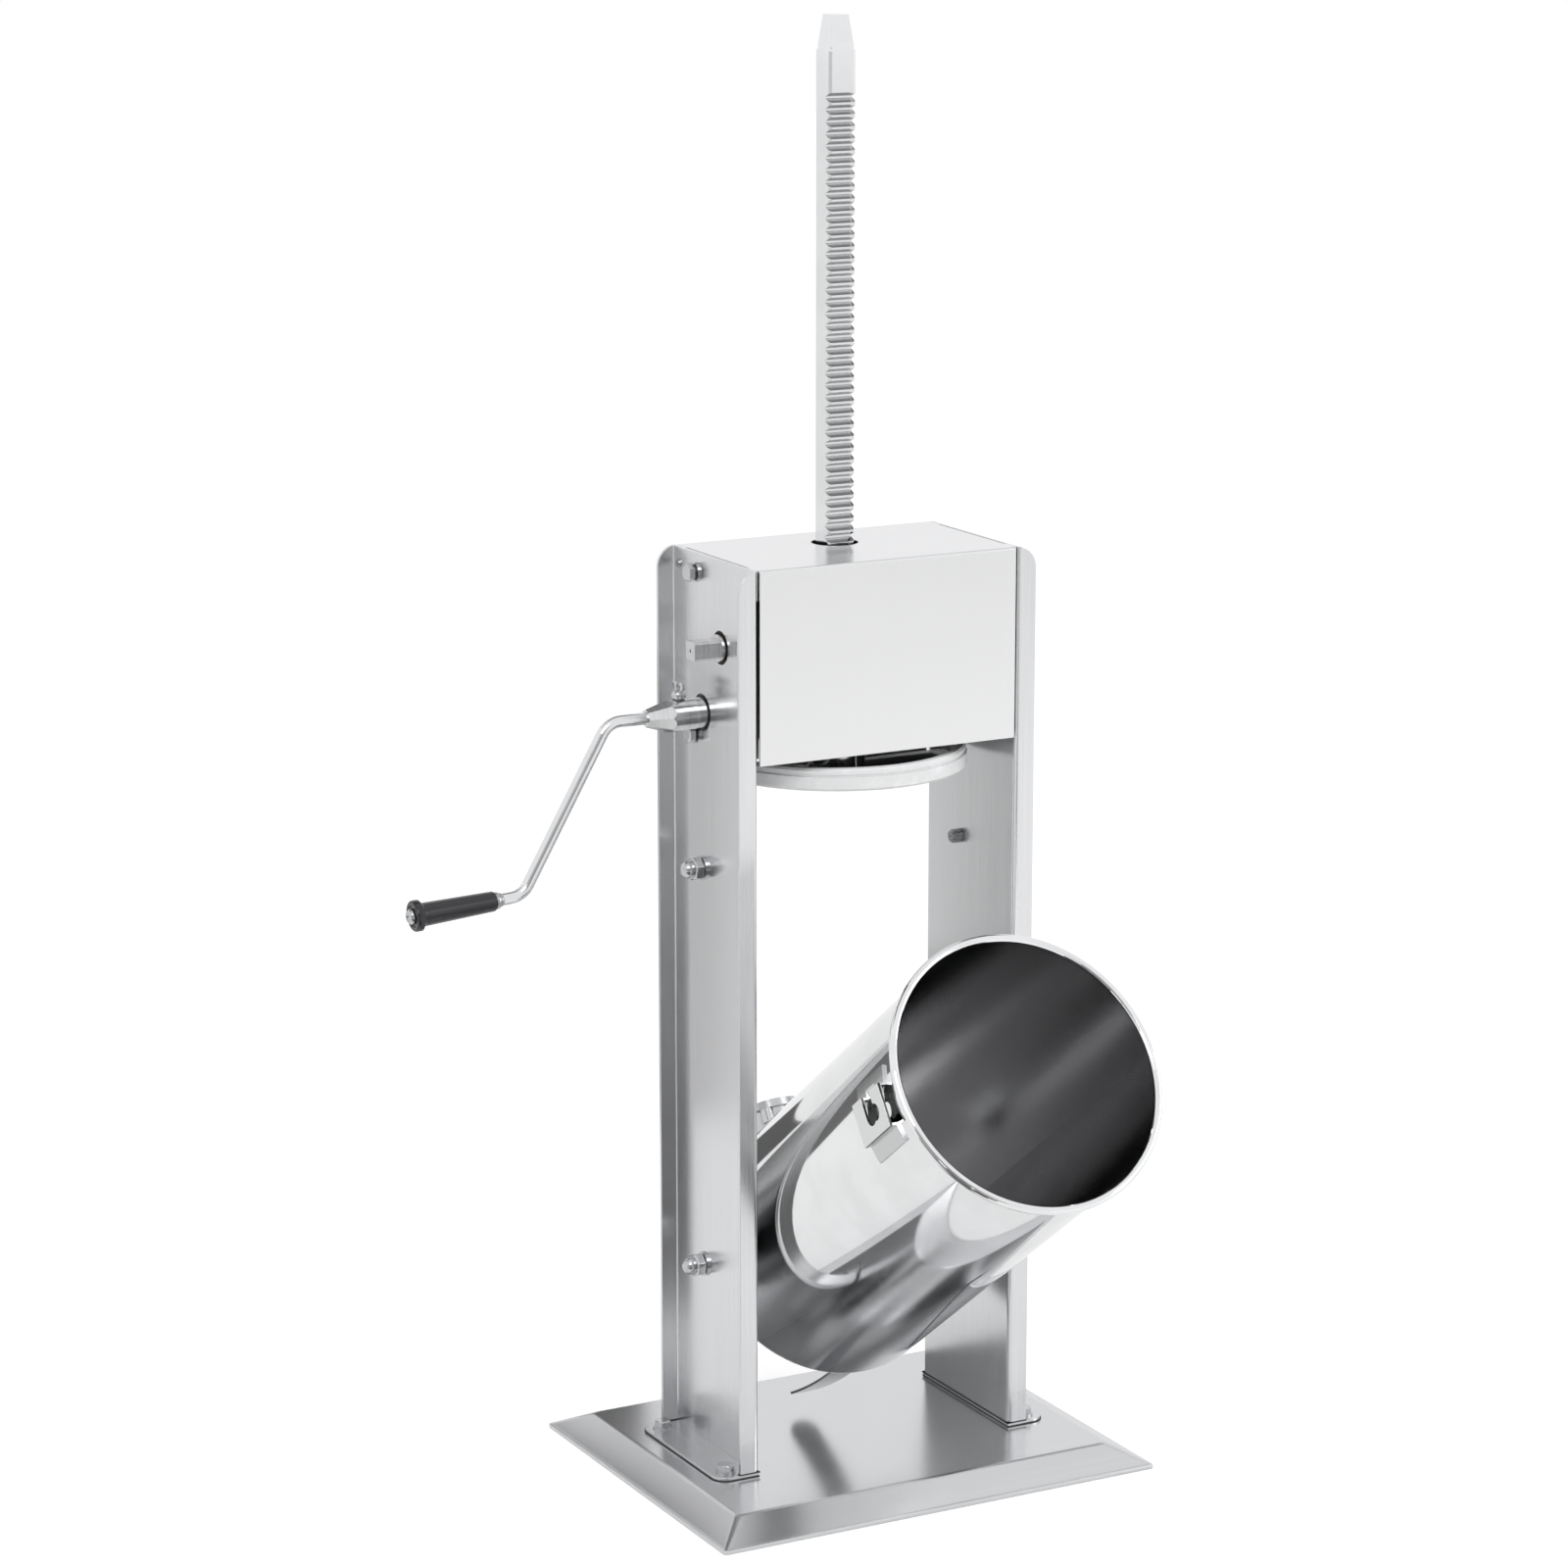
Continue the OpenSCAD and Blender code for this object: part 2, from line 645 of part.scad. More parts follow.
module upper_bushes() {
    color("darkgoldenrod") at_upper() {
        bush(-web_x, -plate_in_x, 1, shaft_d);
        bush(plate_in_x, web_x, -1, shaft_d);
    }
}

module lower_bushes() {
    color("darkgoldenrod") at_lower() {
        bush(-web_x, -plate_in_x, 1, shaft_d);
        bush(inner_left_x, inner_right_x, -1, seat_d);
    }
}

// Rack guide: a channel behind the rack that keeps its teeth in mesh
module rack_guide() {
    color("dimgray") difference() {
        translate([0, 0, upper_shaft_z - guide_h / 2])
            block([-guide_side, guide_front, 0], [guide_side, frame_back - frame_back_t, guide_h]);
        translate([0, 0, upper_shaft_z - guide_h / 2 - over])
            block([-rack_w / 2 - slide_gap, guide_front - over, 0],
                [rack_w / 2 + slide_gap, guide_back, guide_h + 2 * over]);
        for (z = sides) translate([0, frame_back, upper_shaft_z + z * guide_bolt_spread / 2])
            rotate([90, 0, 0]) cylinder(h = frame_back - guide_back + over, d = guide_bolt_d);
    }
}

module guide_bolts() {
    color("silver") for (z = sides) translate([0, frame_back, upper_shaft_z + z * guide_bolt_spread / 2])
        rotate([-90, 0, 0]) hexagon_bolt(guide_bolt_d, bolt_head_w * 0.75, guide_bolt_d * bolt_head_share,
            frame_back - guide_back - slide_gap * 2);
}

// Studs: a plain end inside the column, a shoulder on its face and a thread outwards
module stud() {
    x_bar(web_x - stud_reach + stud_tip, web_x, stud_d);
    translate([web_x - stud_reach, 0, 0]) rotate([0, 90, 0])
        cylinder(h = stud_tip, d1 = stud_d - 2 * stud_tip, d2 = stud_d);
    x_bar(web_x, web_out_x + stud_washer_t + cap_hex_h * 1.2, stud_thread_d);
}

module latch_studs() {
    color("silver") for (x = sides) translate([0, latch_y, latch_z]) mirror([x > 0 ? 0 : 1, 0, 0]) stud();
}

module pivot_studs() {
    color("silver") for (x = sides) translate([0, pivot_y, pivot_z]) mirror([x > 0 ? 0 : 1, 0, 0]) stud();
}

module cap_nuts() {
    color("silver") at_studs() translate([web_out_x + stud_washer_t, 0, 0]) difference() {
        union() {
            x_hexagon(0, cap_hex_h, cap_nut_w);
            x_bar(cap_hex_h, cap_nut_h - cap_nut_w * 0.3, cap_nut_w * 0.86);
            translate([cap_nut_h - cap_nut_w * 0.3, 0, 0]) rotate([0, 90, 0])
                cylinder(h = cap_nut_w * 0.17, d1 = cap_nut_w * 0.86, d2 = cap_nut_w * 0.68);
            translate([cap_nut_h - cap_nut_w * 0.13, 0, 0]) rotate([0, 90, 0])
                cylinder(h = cap_nut_w * 0.13, d1 = cap_nut_w * 0.68, d2 = cap_nut_w * 0.3);
        }
        x_bar(-over, cap_hex_h * 1.3, stud_thread_d);
    }
}

module stud_washers() {
    color("silver") at_studs() translate([web_out_x, 0, 0]) rotate([0, 90, 0])
        washer(stud_washer_d, stud_thread_d + bolt_gap, stud_washer_t);
}

// Gear train
module upper_shaft() {
    color("silver") at_upper() difference() {
        union() {
            x_bar(-square_start_x, web_x - slide_gap, shaft_d);
            intersection() {
                x_bar(-square_start_x - square_l, -square_start_x, square_w * square_corner_share);
                block([-square_start_x - square_l, -square_w / 2, -square_w / 2],
                    [-square_start_x, square_w / 2, square_w / 2]);
            }
        }
        x_bar(-square_start_x - square_l - over, -square_start_x - square_l + square_w / 6, square_w / 6);
        key_bar(gear_left_x, gear_right_x, shaft_d, key_w);
        key_bar(-rack_pinion_w * 0.45, rack_pinion_w * 0.45, shaft_d, key_w);
    }
}

module large_gear() {
    color("silver") at_upper() difference() {
        union() {
            gear(large_gear_teeth, gear_left_x, large_gear_w, mesh_angle);
            x_bar(-flange_in_x + slide_gap, hub_right_x, shaft_d * 1.75);
        }
        x_bar(-flange_in_x, hub_right_x + over, shaft_d);
        key_bar(gear_left_x - over, gear_right_x, shaft_d, key_w);
        key_bar(-web_x, gear_left_x, shaft_d, key_w);
        for (i = [0 : 4]) rotate([72 * i, 0, 0]) translate([0, gear_tip_r * 0.66, 0])
            x_bar(gear_left_x - over, gear_right_x + over, gear_tip_r * 0.28);
    }
}

module rack_pinion() {
    color("silver") at_upper() difference() {
        gear(rack_pinion_teeth, -rack_pinion_w / 2, rack_pinion_w, 0);
        x_bar(-rack_pinion_w / 2 - over, rack_pinion_w / 2 + over, shaft_d);
        key_bar(-rack_pinion_w / 2 - over, rack_pinion_w / 2 + over, shaft_d, key_w);
    }
}

module upper_keys() {
    color("silver") at_upper() {
        key_bar(gear_left_x, gear_right_x, shaft_d, key_w);
        key_bar(-rack_pinion_w * 0.45, rack_pinion_w * 0.45, shaft_d, key_w);
    }
}

module spacer_tubes() {
    color("silver") at_upper() difference() {
        union() {
            x_bar(hub_right_x, -rack_pinion_w / 2, spacer_d);
            x_bar(rack_pinion_w / 2, flange_in_x - slide_gap, spacer_d);
        }
        x_bar(hub_right_x - over, flange_in_x + over, shaft_d);
    }
}

module lower_shaft() {
    ring_x = inner_right_x + slide_gap;
    color("silver") at_lower() difference() {
        union() {
            x_bar(-hub_start_x, -web_x - slide_gap, collar_d);
            x_bar(-web_x - slide_gap, gear_left_x - tooth_module, shaft_d);
            x_bar(gear_left_x - tooth_module, ring_x + 2 * tooth_module, seat_d);
            intersection() {
                x_bar(-lower_end_x, -hub_start_x, square_w * square_corner_share);
                block([-lower_end_x, -square_w / 2, -square_w / 2],
                    [-hub_start_x, square_w / 2, square_w / 2]);
            }
        }
        key_bar(gear_left_x, gear_right_x, seat_d, seat_key_w);
        difference() {
            x_bar(ring_x, ring_x + tooth_module / 2, seat_d + over);
            x_bar(ring_x - over, ring_x + tooth_module, seat_d * 0.88);
        }
    }
}

module small_pinion() {
    color("silver") at_lower() difference() {
        gear(small_pinion_teeth, gear_left_x - tooth_module, inner_flange_x - slide_gap - gear_left_x + tooth_module,
            mesh_angle + 180 + 180 / small_pinion_teeth);
        x_bar(gear_left_x - tooth_module - over, inner_flange_x + over, seat_d);
        key_bar(gear_left_x - tooth_module - over, inner_flange_x + over, seat_d, seat_key_w);
    }
}

module lower_key() {
    color("silver") at_lower() key_bar(gear_left_x, gear_right_x, seat_d, seat_key_w);
}

module retaining_ring() {
    ring_x = inner_right_x + slide_gap;
    color("silver") at_lower() difference() {
        x_bar(ring_x, ring_x + tooth_module / 2, seat_d * 1.3);
        x_bar(ring_x - over, ring_x + tooth_module, seat_d * 0.88);
        block([ring_x - over, 0, -seat_d * 0.15], [ring_x + tooth_module, seat_d, seat_d * 0.15]);
    }
}

// Crank
// The rod's centre line as [out, down, direction] in the crank's plane: level, round a bend, down the arm and level again
function bend_points(out, down, from, to, steps) = let (turn = to > from ? 1 : -1)
    [for (i = [0 : steps]) let (a = from + (to - from) * i / steps)
        [out + turn * bend_r * (sin(a) - sin(from)), down + turn * bend_r * (cos(from) - cos(a)), a]];
function rod_points() = let (first = bend_points(hub_run, 0, 0, arm_angle, bend_steps), e = first[bend_steps],
    second = bend_points(e[0] + arm_l * cos(arm_angle), e[1] + arm_l * sin(arm_angle), arm_angle, grip_droop,
    bend_steps), g = second[bend_steps])
    concat([[0, 0, 0]], first, second,
        [[g[0] + grip_lead * cos(grip_droop), g[1] + grip_lead * sin(grip_droop), grip_droop]]);

// A round bar along such a centre line: one ring of points at each place, in the plane across the line
module bent_rod(line, d, sides_n) {
    last = len(line) - 1;
    points = [for (p = line, k = [0 : sides_n - 1]) let (a = 360 * k / sides_n, r = d / 2 * cos(a))
        [-p[0] + r * sin(p[2]), d / 2 * sin(a), -p[1] - r * cos(p[2])]];
    walls = [for (i = [0 : last - 1], k = [0 : sides_n - 1]) let (n = (k + 1) % sides_n)
        [i * sides_n + k, i * sides_n + n, (i + 1) * sides_n + n, (i + 1) * sides_n + k]];
    polyhedron(points, concat([[for (k = [sides_n - 1 : -1 : 0]) k]], walls,
        [[for (k = [0 : sides_n - 1]) last * sides_n + k]]));
}

module crank_hub() {
    cone_x = -hub_end_x + hub_cone;
    color("silver") at_lower() difference() {
        x_bar(-hub_end_x, -hub_start_x, hub_d);
        for (i = [0 : hub_flats - 1]) rotate([360 * (i + 1 / 2) / hub_flats, 0, 0])
            translate([cone_x, 0, hub_d / 2]) rotate([0, -flat_slope, 0])
                block([-2 * hub_cone, -hub_d, 0], [0, hub_d, hub_d]);
        intersection() {
            x_bar(-lower_end_x - over, -hub_start_x + over, square_w * square_corner_share + slide_gap);
            block([-lower_end_x - over, -square_w / 2 - slide_gap / 2, -square_w / 2 - slide_gap / 2],
                [-hub_start_x + over, square_w / 2 + slide_gap / 2, square_w / 2 + slide_gap / 2]);
        }
        x_bar(-hub_end_x - over, cone_x, rod_d);
        translate([-wing_x, 0, 0]) cylinder(h = hub_d, d = wing_d + 2 * run_gap);
    }
}

module at_rod() {
    at_lower() translate([-hub_end_x + hub_cone, 0, 0]) children();
}

module crank_rod() {
    color("silver") at_rod() bent_rod(rod_points(), rod_d, 24);
}

// The grip's axis, along +Z from the rod's end
module at_grip() {
    line = rod_points();
    end = line[len(line) - 1];
    at_rod() translate([-end[0], 0, -end[1]]) rotate([0, -90 - grip_droop, 0]) children();
}

module grip_ferrule() {
    color("silver") at_grip() difference() {
        cylinder(h = ferrule_l, d1 = rod_d * 1.1, d2 = grip_inner_d * 0.9);
        translate([0, 0, -over]) cylinder(h = ferrule_l + 2 * over, d = grip_bore);
    }
}

module crank_grip() {
    flange = grip_l * 0.1;
    color("#1c1c1e") at_grip() translate([0, 0, ferrule_l + slide_gap]) difference() {
        union() {
            cylinder(h = grip_l - flange, d1 = grip_inner_d, d2 = grip_outer_d);
            translate([0, 0, grip_l - flange * 1.4])
                cylinder(h = flange * 0.5, d1 = grip_outer_d, d2 = grip_flange_d);
            translate([0, 0, grip_l - flange * 0.9]) cylinder(h = flange * 0.6, d = grip_flange_d);
            translate([0, 0, grip_l - flange * 0.3])
                cylinder(h = flange * 0.3, d1 = grip_flange_d, d2 = grip_flange_d * 0.85);
        }
        translate([0, 0, -over]) cylinder(h = grip_l + 2 * over, d = grip_bore + 2 * run_gap);
    }
}

// Grip screw: it runs through the ferrule and the grip, and its head keeps the grip on
module grip_screw() {
    end = ferrule_l + grip_l + 2 * slide_gap;
    color("silver") at_grip() {
        cylinder(h = end, d = grip_bore);
        translate([0, 0, end]) cylinder(h = rod_d * 0.25, d = rod_d * 1.25);
        translate([0, 0, end + rod_d * 0.25]) cylinder(h = rod_d * 0.2, d1 = rod_d * 1.25, d2 = rod_d * 0.7);
    }
}

// Wing screw: its tip presses on the lower shaft's square end
module wing_screw() {
    head = hub_d / 2 + slide_gap * 2;
    tip = square_w / 2 + slide_gap / 3;
    color("silver") at_lower() translate([-wing_x, 0, 0]) {
        translate([0, 0, tip]) cylinder(h = head - tip, d = wing_d);
        translate([0, 0, head]) cylinder(h = wing_d, d1 = wing_d * 1.9, d2 = wing_d * 1.4);
        for (y = sides) translate([0, 0, head + wing_d * 0.55]) rotate([-28 * y, 0, 0]) {
            translate([0, y * wing_d * 0.35, 0]) union() {
                block([-wing_d / 5, -wing_d * 0.55, 0], [wing_d / 5, wing_d * 0.55, wing_d * 1.6]);
                translate([-wing_d / 5, 0, wing_d * 1.6]) rotate([0, 90, 0])
                    cylinder(h = wing_d * 0.4, r = wing_d * 0.55);
            }
        }
    }
}

// Rack: a square bar toothed on its front face, with a tapered tip
function rack_gap_points(k) = let (z = upper_shaft_z + k * tooth_pitch, wide = tooth_pitch / 4 + flank_gap
    + tooth_module * tan(pressure_angle), narrow = tooth_pitch / 4 + flank_gap - dedendum * tan(pressure_angle),
    root = rack_front + tooth_module + dedendum)
    [[rack_front, z - wide], [root, z - narrow], [root, z + narrow], [rack_front, z + wide]];

module rack_bar() {
    rack_back = press_y + rack_w / 2;
    c = rack_chamfer;
    h = rack_w / 2;
    outline = concat([[rack_back, plate_top], [rack_front, plate_top]],
        [for (k = [-rack_gaps_below : rack_gaps_above]) each rack_gap_points(k)],
        [[rack_front, rack_shoulder], [rack_back, rack_shoulder]]);
    color("silver") difference() {
        union() {
            intersection() {
                x_plate(-h, rack_w) polygon(outline);
                translate([0, press_y, plate_top]) linear_extrude(height = rack_shoulder - plate_top)
                    polygon([[-h, c - h], [c - h, -h], [h - c, -h], [h, c - h],
                        [h, h - c], [h - c, h], [c - h, h], [-h, h - c]]);
            }
            translate([0, press_y, rack_shoulder]) linear_extrude(height = rack_slope,
                scale = (rack_w - rack_slope) / rack_w) polygon([[-h, c - h], [c - h, -h], [h - c, -h], [h, c - h],
                    [h, h - c], [h - c, h], [c - h, h], [-h, h - c]]);
            translate([0, press_y, rack_shoulder + rack_slope]) linear_extrude(height = rack_tip_l - rack_slope,
                scale = rack_tip_w / (rack_w - rack_slope)) square(rack_w - rack_slope, center = true);
        }
        translate([0, press_y, plate_top - over]) cylinder(h = piston_bolt_l - piston_t + over,
            d = piston_bolt_d);
    }
}

// Piston
module piston_plate() {
    pocket = rack_w + 2 * run_gap;
    color("silver") translate([0, press_y, 0]) difference() {
        union() {
            translate([0, 0, plate_under]) cylinder(h = piston_t, r = plate_r);
            translate([0, 0, plate_top]) cylinder(h = piston_hub_h, r = piston_hub_r);
        }
        translate([0, 0, plate_top]) block([-pocket / 2, -pocket / 2, 0], [pocket / 2, pocket / 2, rack_w]);
        translate([0, 0, plate_under - over]) cylinder(h = piston_t + 2 * over, d = piston_bolt_d + bolt_gap);
        translate([valve_at, 0, 0]) {
            translate([0, 0, plate_under - over]) cylinder(h = piston_t + 2 * over, r = valve_stem_r + run_gap);
            translate([0, 0, plate_under - over])
                cylinder(h = piston_t - valve_web + over, r = valve_foot_r + slide_gap);
        }
    }
}

// Gasket: a ring that holds the plate's edge in its inner groove, with a lip above its outer groove
module piston_gasket() {
    g0 = piston_z;
    g1 = piston_z + gasket_h;
    lip = g1 - gasket_h * 0.26;
    lip_r = gasket_r - groove / 2;
    color("whitesmoke") translate([0, press_y, 0]) rotate_extrude()
        polygon([[gasket_lip_r, g0], [gasket_r - groove, g0], [gasket_r, g0 + groove], [gasket_r, lip - groove],
            [gasket_r - groove, lip - groove], [gasket_r - groove, lip], [lip_r, lip], [lip_r, g1 - groove],
            [lip_r - groove, g1], [plate_r - groove, g1], [gasket_lip_r, plate_top], [plate_r, plate_top],
            [plate_r, plate_under], [gasket_lip_r, plate_under]]);
}

module piston_bolt() {
    head_h = gasket_h * 0.2;
    color("silver") translate([0, press_y, plate_under]) {
        cylinder(h = piston_bolt_l * 0.95, d = piston_bolt_d);
        translate([0, 0, -head_h]) cylinder(h = head_h, d1 = piston_bolt_d * 1.7, d2 = piston_bolt_d * 2);
    }
}

// Air valve: a plug that lifts to let air out from under the piston
module air_valve() {
    foot_h = piston_t - valve_web - valve_lift - slide_gap;
    color("whitesmoke") translate([valve_at, press_y, 0]) {
        translate([0, 0, plate_under]) cylinder(h = foot_h, r = valve_foot_r);
        translate([0, 0, plate_under]) cylinder(h = piston_t, r = valve_stem_r);
        translate([0, 0, plate_top]) cylinder(h = valve_cap_r / 3, r = valve_cap_r);
        translate([0, 0, plate_top + valve_cap_r / 3])
            cylinder(h = valve_cap_r / 3, r1 = valve_cap_r, r2 = valve_stem_r);
    }
}

// Barrel and what it carries
module in_barrel() {
    translate([0, pivot_y, pivot_z]) rotate([barrel_tilt, 0, 0]) children();
}

module on_axis() {
    in_barrel() translate([0, barrel_axis, 0]) children();
}

module barrel_shell() {
    bead_z = barrel_top - bead_r;
    bead = [for (a = [170 : -17 : -85]) [bead_at_r + bead_r * cos(a), bead_z + bead_r * sin(a)]];
    color("silver") on_axis() rotate_extrude()
        polygon(concat([[barrel_r, shell_foot], [bore_r, shell_foot]], bead,
            [[barrel_r, bead_z - bead_r * 0.6]]));
}

// Bottom: a pressed disc whose rim turns up round the edge and meets the shell
module barrel_bottom() {
    centre_r = barrel_r - foot_round;
    outside = [for (k = [0 : foot_steps]) let (a = 90 * k / foot_steps)
        [centre_r + foot_round * sin(a), shell_foot - foot_round * cos(a)]];
    inside = [for (k = [foot_steps : -1 : 0]) let (a = 90 * k / foot_steps)
        [centre_r + (foot_round - cap_t) * sin(a), shell_foot - (foot_round - cap_t) * cos(a)]];
    color("silver") on_axis() rotate_extrude()
        polygon(concat([[outlet_d / 2, barrel_foot - cap_t]], outside, inside, [[outlet_d / 2, barrel_foot]]));
}

// A strap bent like a hat, seen along the barrel: a tab on the wall at each end of a raised bridge
module strap_outline(half_w) {
    wall_x = barrel_r * cos(asin(half_w / barrel_r));
    difference() {
        union() {
            intersection() {
                circle(r = barrel_r + hook_t);
                for (y = sides) translate([wall_x - tab_reach, y > 0 ? half_w - hook_t : -half_w - tab_reach])
                    square([2 * tab_reach, tab_reach + hook_t]);
            }
            difference() {
                translate([wall_x - hook_t, -half_w]) square([hook_out_x - wall_x + hook_t, 2 * half_w]);
                translate([wall_x - 2 * hook_t, hook_t - half_w])
                    square([hook_in_x - wall_x + 2 * hook_t, 2 * (half_w - hook_t)]);
            }
        }
        circle(r = barrel_r);
    }
}

module strap(half_w, low, high, side) {
    translate([0, 0, low]) mirror([side > 0 ? 0 : 1, 0, 0]) linear_extrude(height = high - low)
        strap_outline(half_w);
}

module latch_hooks() {
    y0 = latch_local_y - barrel_axis;
    z0 = latch_local_z;
    color("silver") on_axis() for (side = sides) difference() {
        strap(latch_half_w, z0 - latch_half_h, z0 + latch_half_h, side);
        translate([side * web_x, y0, z0]) rotate([0, 90, 0])
            cylinder(h = 4 * hook_t, r = latch_slot_r, center = true);
        translate([side * web_x, y0, z0 + latch_slot_r]) rotate([0, 90, 0])
            cylinder(h = 4 * hook_t, r = latch_slot_r * 0.86, center = true);
        block([side * web_x - bead_d * 1.2, y0, z0 - latch_slot_r],
            [side * web_x + bead_d * 1.2, latch_half_w + tab_reach + over, z0 + latch_slot_r]);
    }
}

module pivot_hooks() {
    y0 = -barrel_axis;
    color("silver") on_axis() for (side = sides) difference() {
        strap(pivot_half_w, pivot_low, pivot_high, side);
        translate([side * web_x, y0, 0]) rotate([0, 90, 0])
            cylinder(h = 4 * bead_d, d = stud_d + 2 * slide_gap, center = true);
        block([side * web_x - bead_d, y0 - stud_d / 2 - slide_gap, pivot_low - over],
            [side * web_x + bead_d, y0 + stud_d / 2 + slide_gap, 0]);
    }
}

// Outlet: a bend down from the middle of the bottom, then a tube with a collar out to the back
module outlet_tube() {
    run = outlet_end - outlet_bend;
    color("silver") on_axis() translate([0, outlet_bend, barrel_foot - cap_t]) {
        rotate([180, 90, 0]) rotate_extrude(angle = 90) translate([outlet_bend, 0]) difference() {
            circle(r = outlet_r);
            circle(d = outlet_d);
        }
        translate([0, 0, -outlet_bend]) rotate([-90, 0, 0]) difference() {
            union() {
                cylinder(h = run, r = outlet_r);
                translate([0, 0, run - ring_nut_l * 1.3]) cylinder(h = ring_nut_l * 0.3, r = outlet_r + outlet_wall);
            }
            translate([0, 0, -over]) cylinder(h = run + 2 * over, d = outlet_d);
        }
    }
}

module ring_nut() {
    lug = ring_nut_d * 0.1;
    bore = 2 * outlet_r + 2 * run_gap;
    axis_z = barrel_foot - outlet_drop;
    color("silver") on_axis() translate([0, outlet_end, axis_z]) rotate([90, 0, 0]) difference() {
        union() {
            cylinder(h = ring_nut_l - slide_gap, d = ring_nut_d - lug);
            translate([0, 0, -ring_nut_l * 0.2]) cylinder(h = ring_nut_l * 0.32, d = ring_nut_d);
            for (i = [0 : 5]) rotate(60 * i) translate([ring_nut_d / 2 - lug, 0, -ring_nut_l * 0.2])
                cylinder(h = ring_nut_l * 0.9, d = 2 * lug);
        }
        translate([0, 0, -slide_gap]) cylinder(h = ring_nut_l + over, d = bore);
        translate([0, 0, -ring_nut_l]) cylinder(h = ring_nut_l * 2, d = bore * 0.9);
    }
}

// Handle: a strip bent down from the underside of the barrel's foot
module tipping_handle() {
    root_y = -barrel_r * cos(asin(handle_offset / barrel_r)) + handle_t * 2;
    under = barrel_foot - cap_t;
    weld = handle_w * 0.8;
    color("silver") on_axis() translate([-handle_offset, root_y, under]) {
        block([-handle_w / 2, 0, -handle_t], [handle_w / 2, weld, 0]);
        intersection() {
            translate([-handle_w / 2, handle_bend, -handle_t]) rotate([0, 90, 0]) difference() {
                cylinder(h = handle_w, r = handle_bend, $fn = 256);
                translate([0, 0, -over]) cylinder(h = handle_w + 2 * over, r = handle_bend - handle_t, $fn = 256);
            }
            union() {
                block([-handle_w / 2, 0, -handle_l + handle_w / 2], [handle_w / 2, handle_bend, -handle_t / 2]);
                translate([0, 0, -handle_l + handle_w / 2]) rotate([-90, 0, 0])
                    cylinder(h = handle_bend, d = handle_w);
            }
        }
    }
}

base_plate();
foot_plate(-1);  // foot_plate_left
foot_plate(1);  // foot_plate_right
column(-1);  // column_left
column(1);  // column_right
foot_bolts();
foot_washers();
foot_nuts();
gearbox_cover();
cover_screws();
gear_frame();
frame_bolts();
frame_washers();
spring_washers();
upper_bushes();
lower_bushes();
rack_guide();
guide_bolts();
latch_studs();
pivot_studs();
cap_nuts();
stud_washers();
upper_shaft();
large_gear();
rack_pinion();
upper_keys();
spacer_tubes();
lower_shaft();
small_pinion();
lower_key();
retaining_ring();
crank_hub();
crank_rod();
grip_ferrule();
grip_screw();
crank_grip();
wing_screw();
rack_bar();
piston_plate();
piston_gasket();
piston_bolt();
air_valve();
barrel_shell();
barrel_bottom();
latch_hooks();
pivot_hooks();
outlet_tube();
tipping_handle();
ring_nut();
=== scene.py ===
"""Looks of a vertical sausage stuffer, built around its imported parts.

Everything is in metres in the part's own frame: +Z up, -Y to the front, the crank on the left at -X.
"""

from __future__ import annotations

import json
import logging
import math
from dataclasses import dataclass, field
from enum import Enum
from typing import Any, Callable, Iterator, Sequence

import bpy
from mathutils import Euler, Matrix, Vector

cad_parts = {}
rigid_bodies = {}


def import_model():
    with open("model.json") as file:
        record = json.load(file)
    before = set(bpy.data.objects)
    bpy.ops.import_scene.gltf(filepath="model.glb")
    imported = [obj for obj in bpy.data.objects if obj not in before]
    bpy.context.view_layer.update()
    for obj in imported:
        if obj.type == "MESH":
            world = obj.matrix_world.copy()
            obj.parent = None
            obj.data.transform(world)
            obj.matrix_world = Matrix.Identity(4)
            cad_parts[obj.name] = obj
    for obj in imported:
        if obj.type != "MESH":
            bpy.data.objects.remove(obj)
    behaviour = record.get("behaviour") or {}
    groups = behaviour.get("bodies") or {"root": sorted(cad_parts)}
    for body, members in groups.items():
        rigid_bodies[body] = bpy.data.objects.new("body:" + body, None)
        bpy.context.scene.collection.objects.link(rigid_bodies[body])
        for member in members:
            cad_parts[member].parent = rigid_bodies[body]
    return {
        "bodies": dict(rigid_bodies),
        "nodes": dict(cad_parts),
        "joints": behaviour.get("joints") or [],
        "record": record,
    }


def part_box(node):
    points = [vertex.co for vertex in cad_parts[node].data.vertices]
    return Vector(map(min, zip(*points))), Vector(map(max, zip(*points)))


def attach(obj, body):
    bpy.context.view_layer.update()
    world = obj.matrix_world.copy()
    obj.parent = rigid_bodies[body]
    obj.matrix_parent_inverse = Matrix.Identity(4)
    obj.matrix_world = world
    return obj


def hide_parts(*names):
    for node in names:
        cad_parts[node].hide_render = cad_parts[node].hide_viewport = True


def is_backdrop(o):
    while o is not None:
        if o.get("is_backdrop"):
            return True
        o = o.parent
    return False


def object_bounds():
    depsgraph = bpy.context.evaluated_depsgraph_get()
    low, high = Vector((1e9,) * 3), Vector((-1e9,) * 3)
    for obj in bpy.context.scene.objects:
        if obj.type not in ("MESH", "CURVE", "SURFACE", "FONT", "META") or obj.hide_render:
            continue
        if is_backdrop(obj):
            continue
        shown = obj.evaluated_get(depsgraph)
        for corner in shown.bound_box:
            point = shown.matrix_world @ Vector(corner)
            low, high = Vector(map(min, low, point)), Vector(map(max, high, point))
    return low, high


LOG = logging.getLogger("stuffer")
MM = 0.001
MERGE = 0.001 * MM
EVEN = Vector((1.0, 1.0, 1.0))
# The middle of a noise, which is subtracted so that it works both ways.
MEAN = 0.5
WHITE = (1.0, 1.0, 1.0)
Number = float | int
Colour = tuple[float, float, float]
Point = tuple[float, float, float]
# The two ends of a span of values.
Span = tuple[float, float]
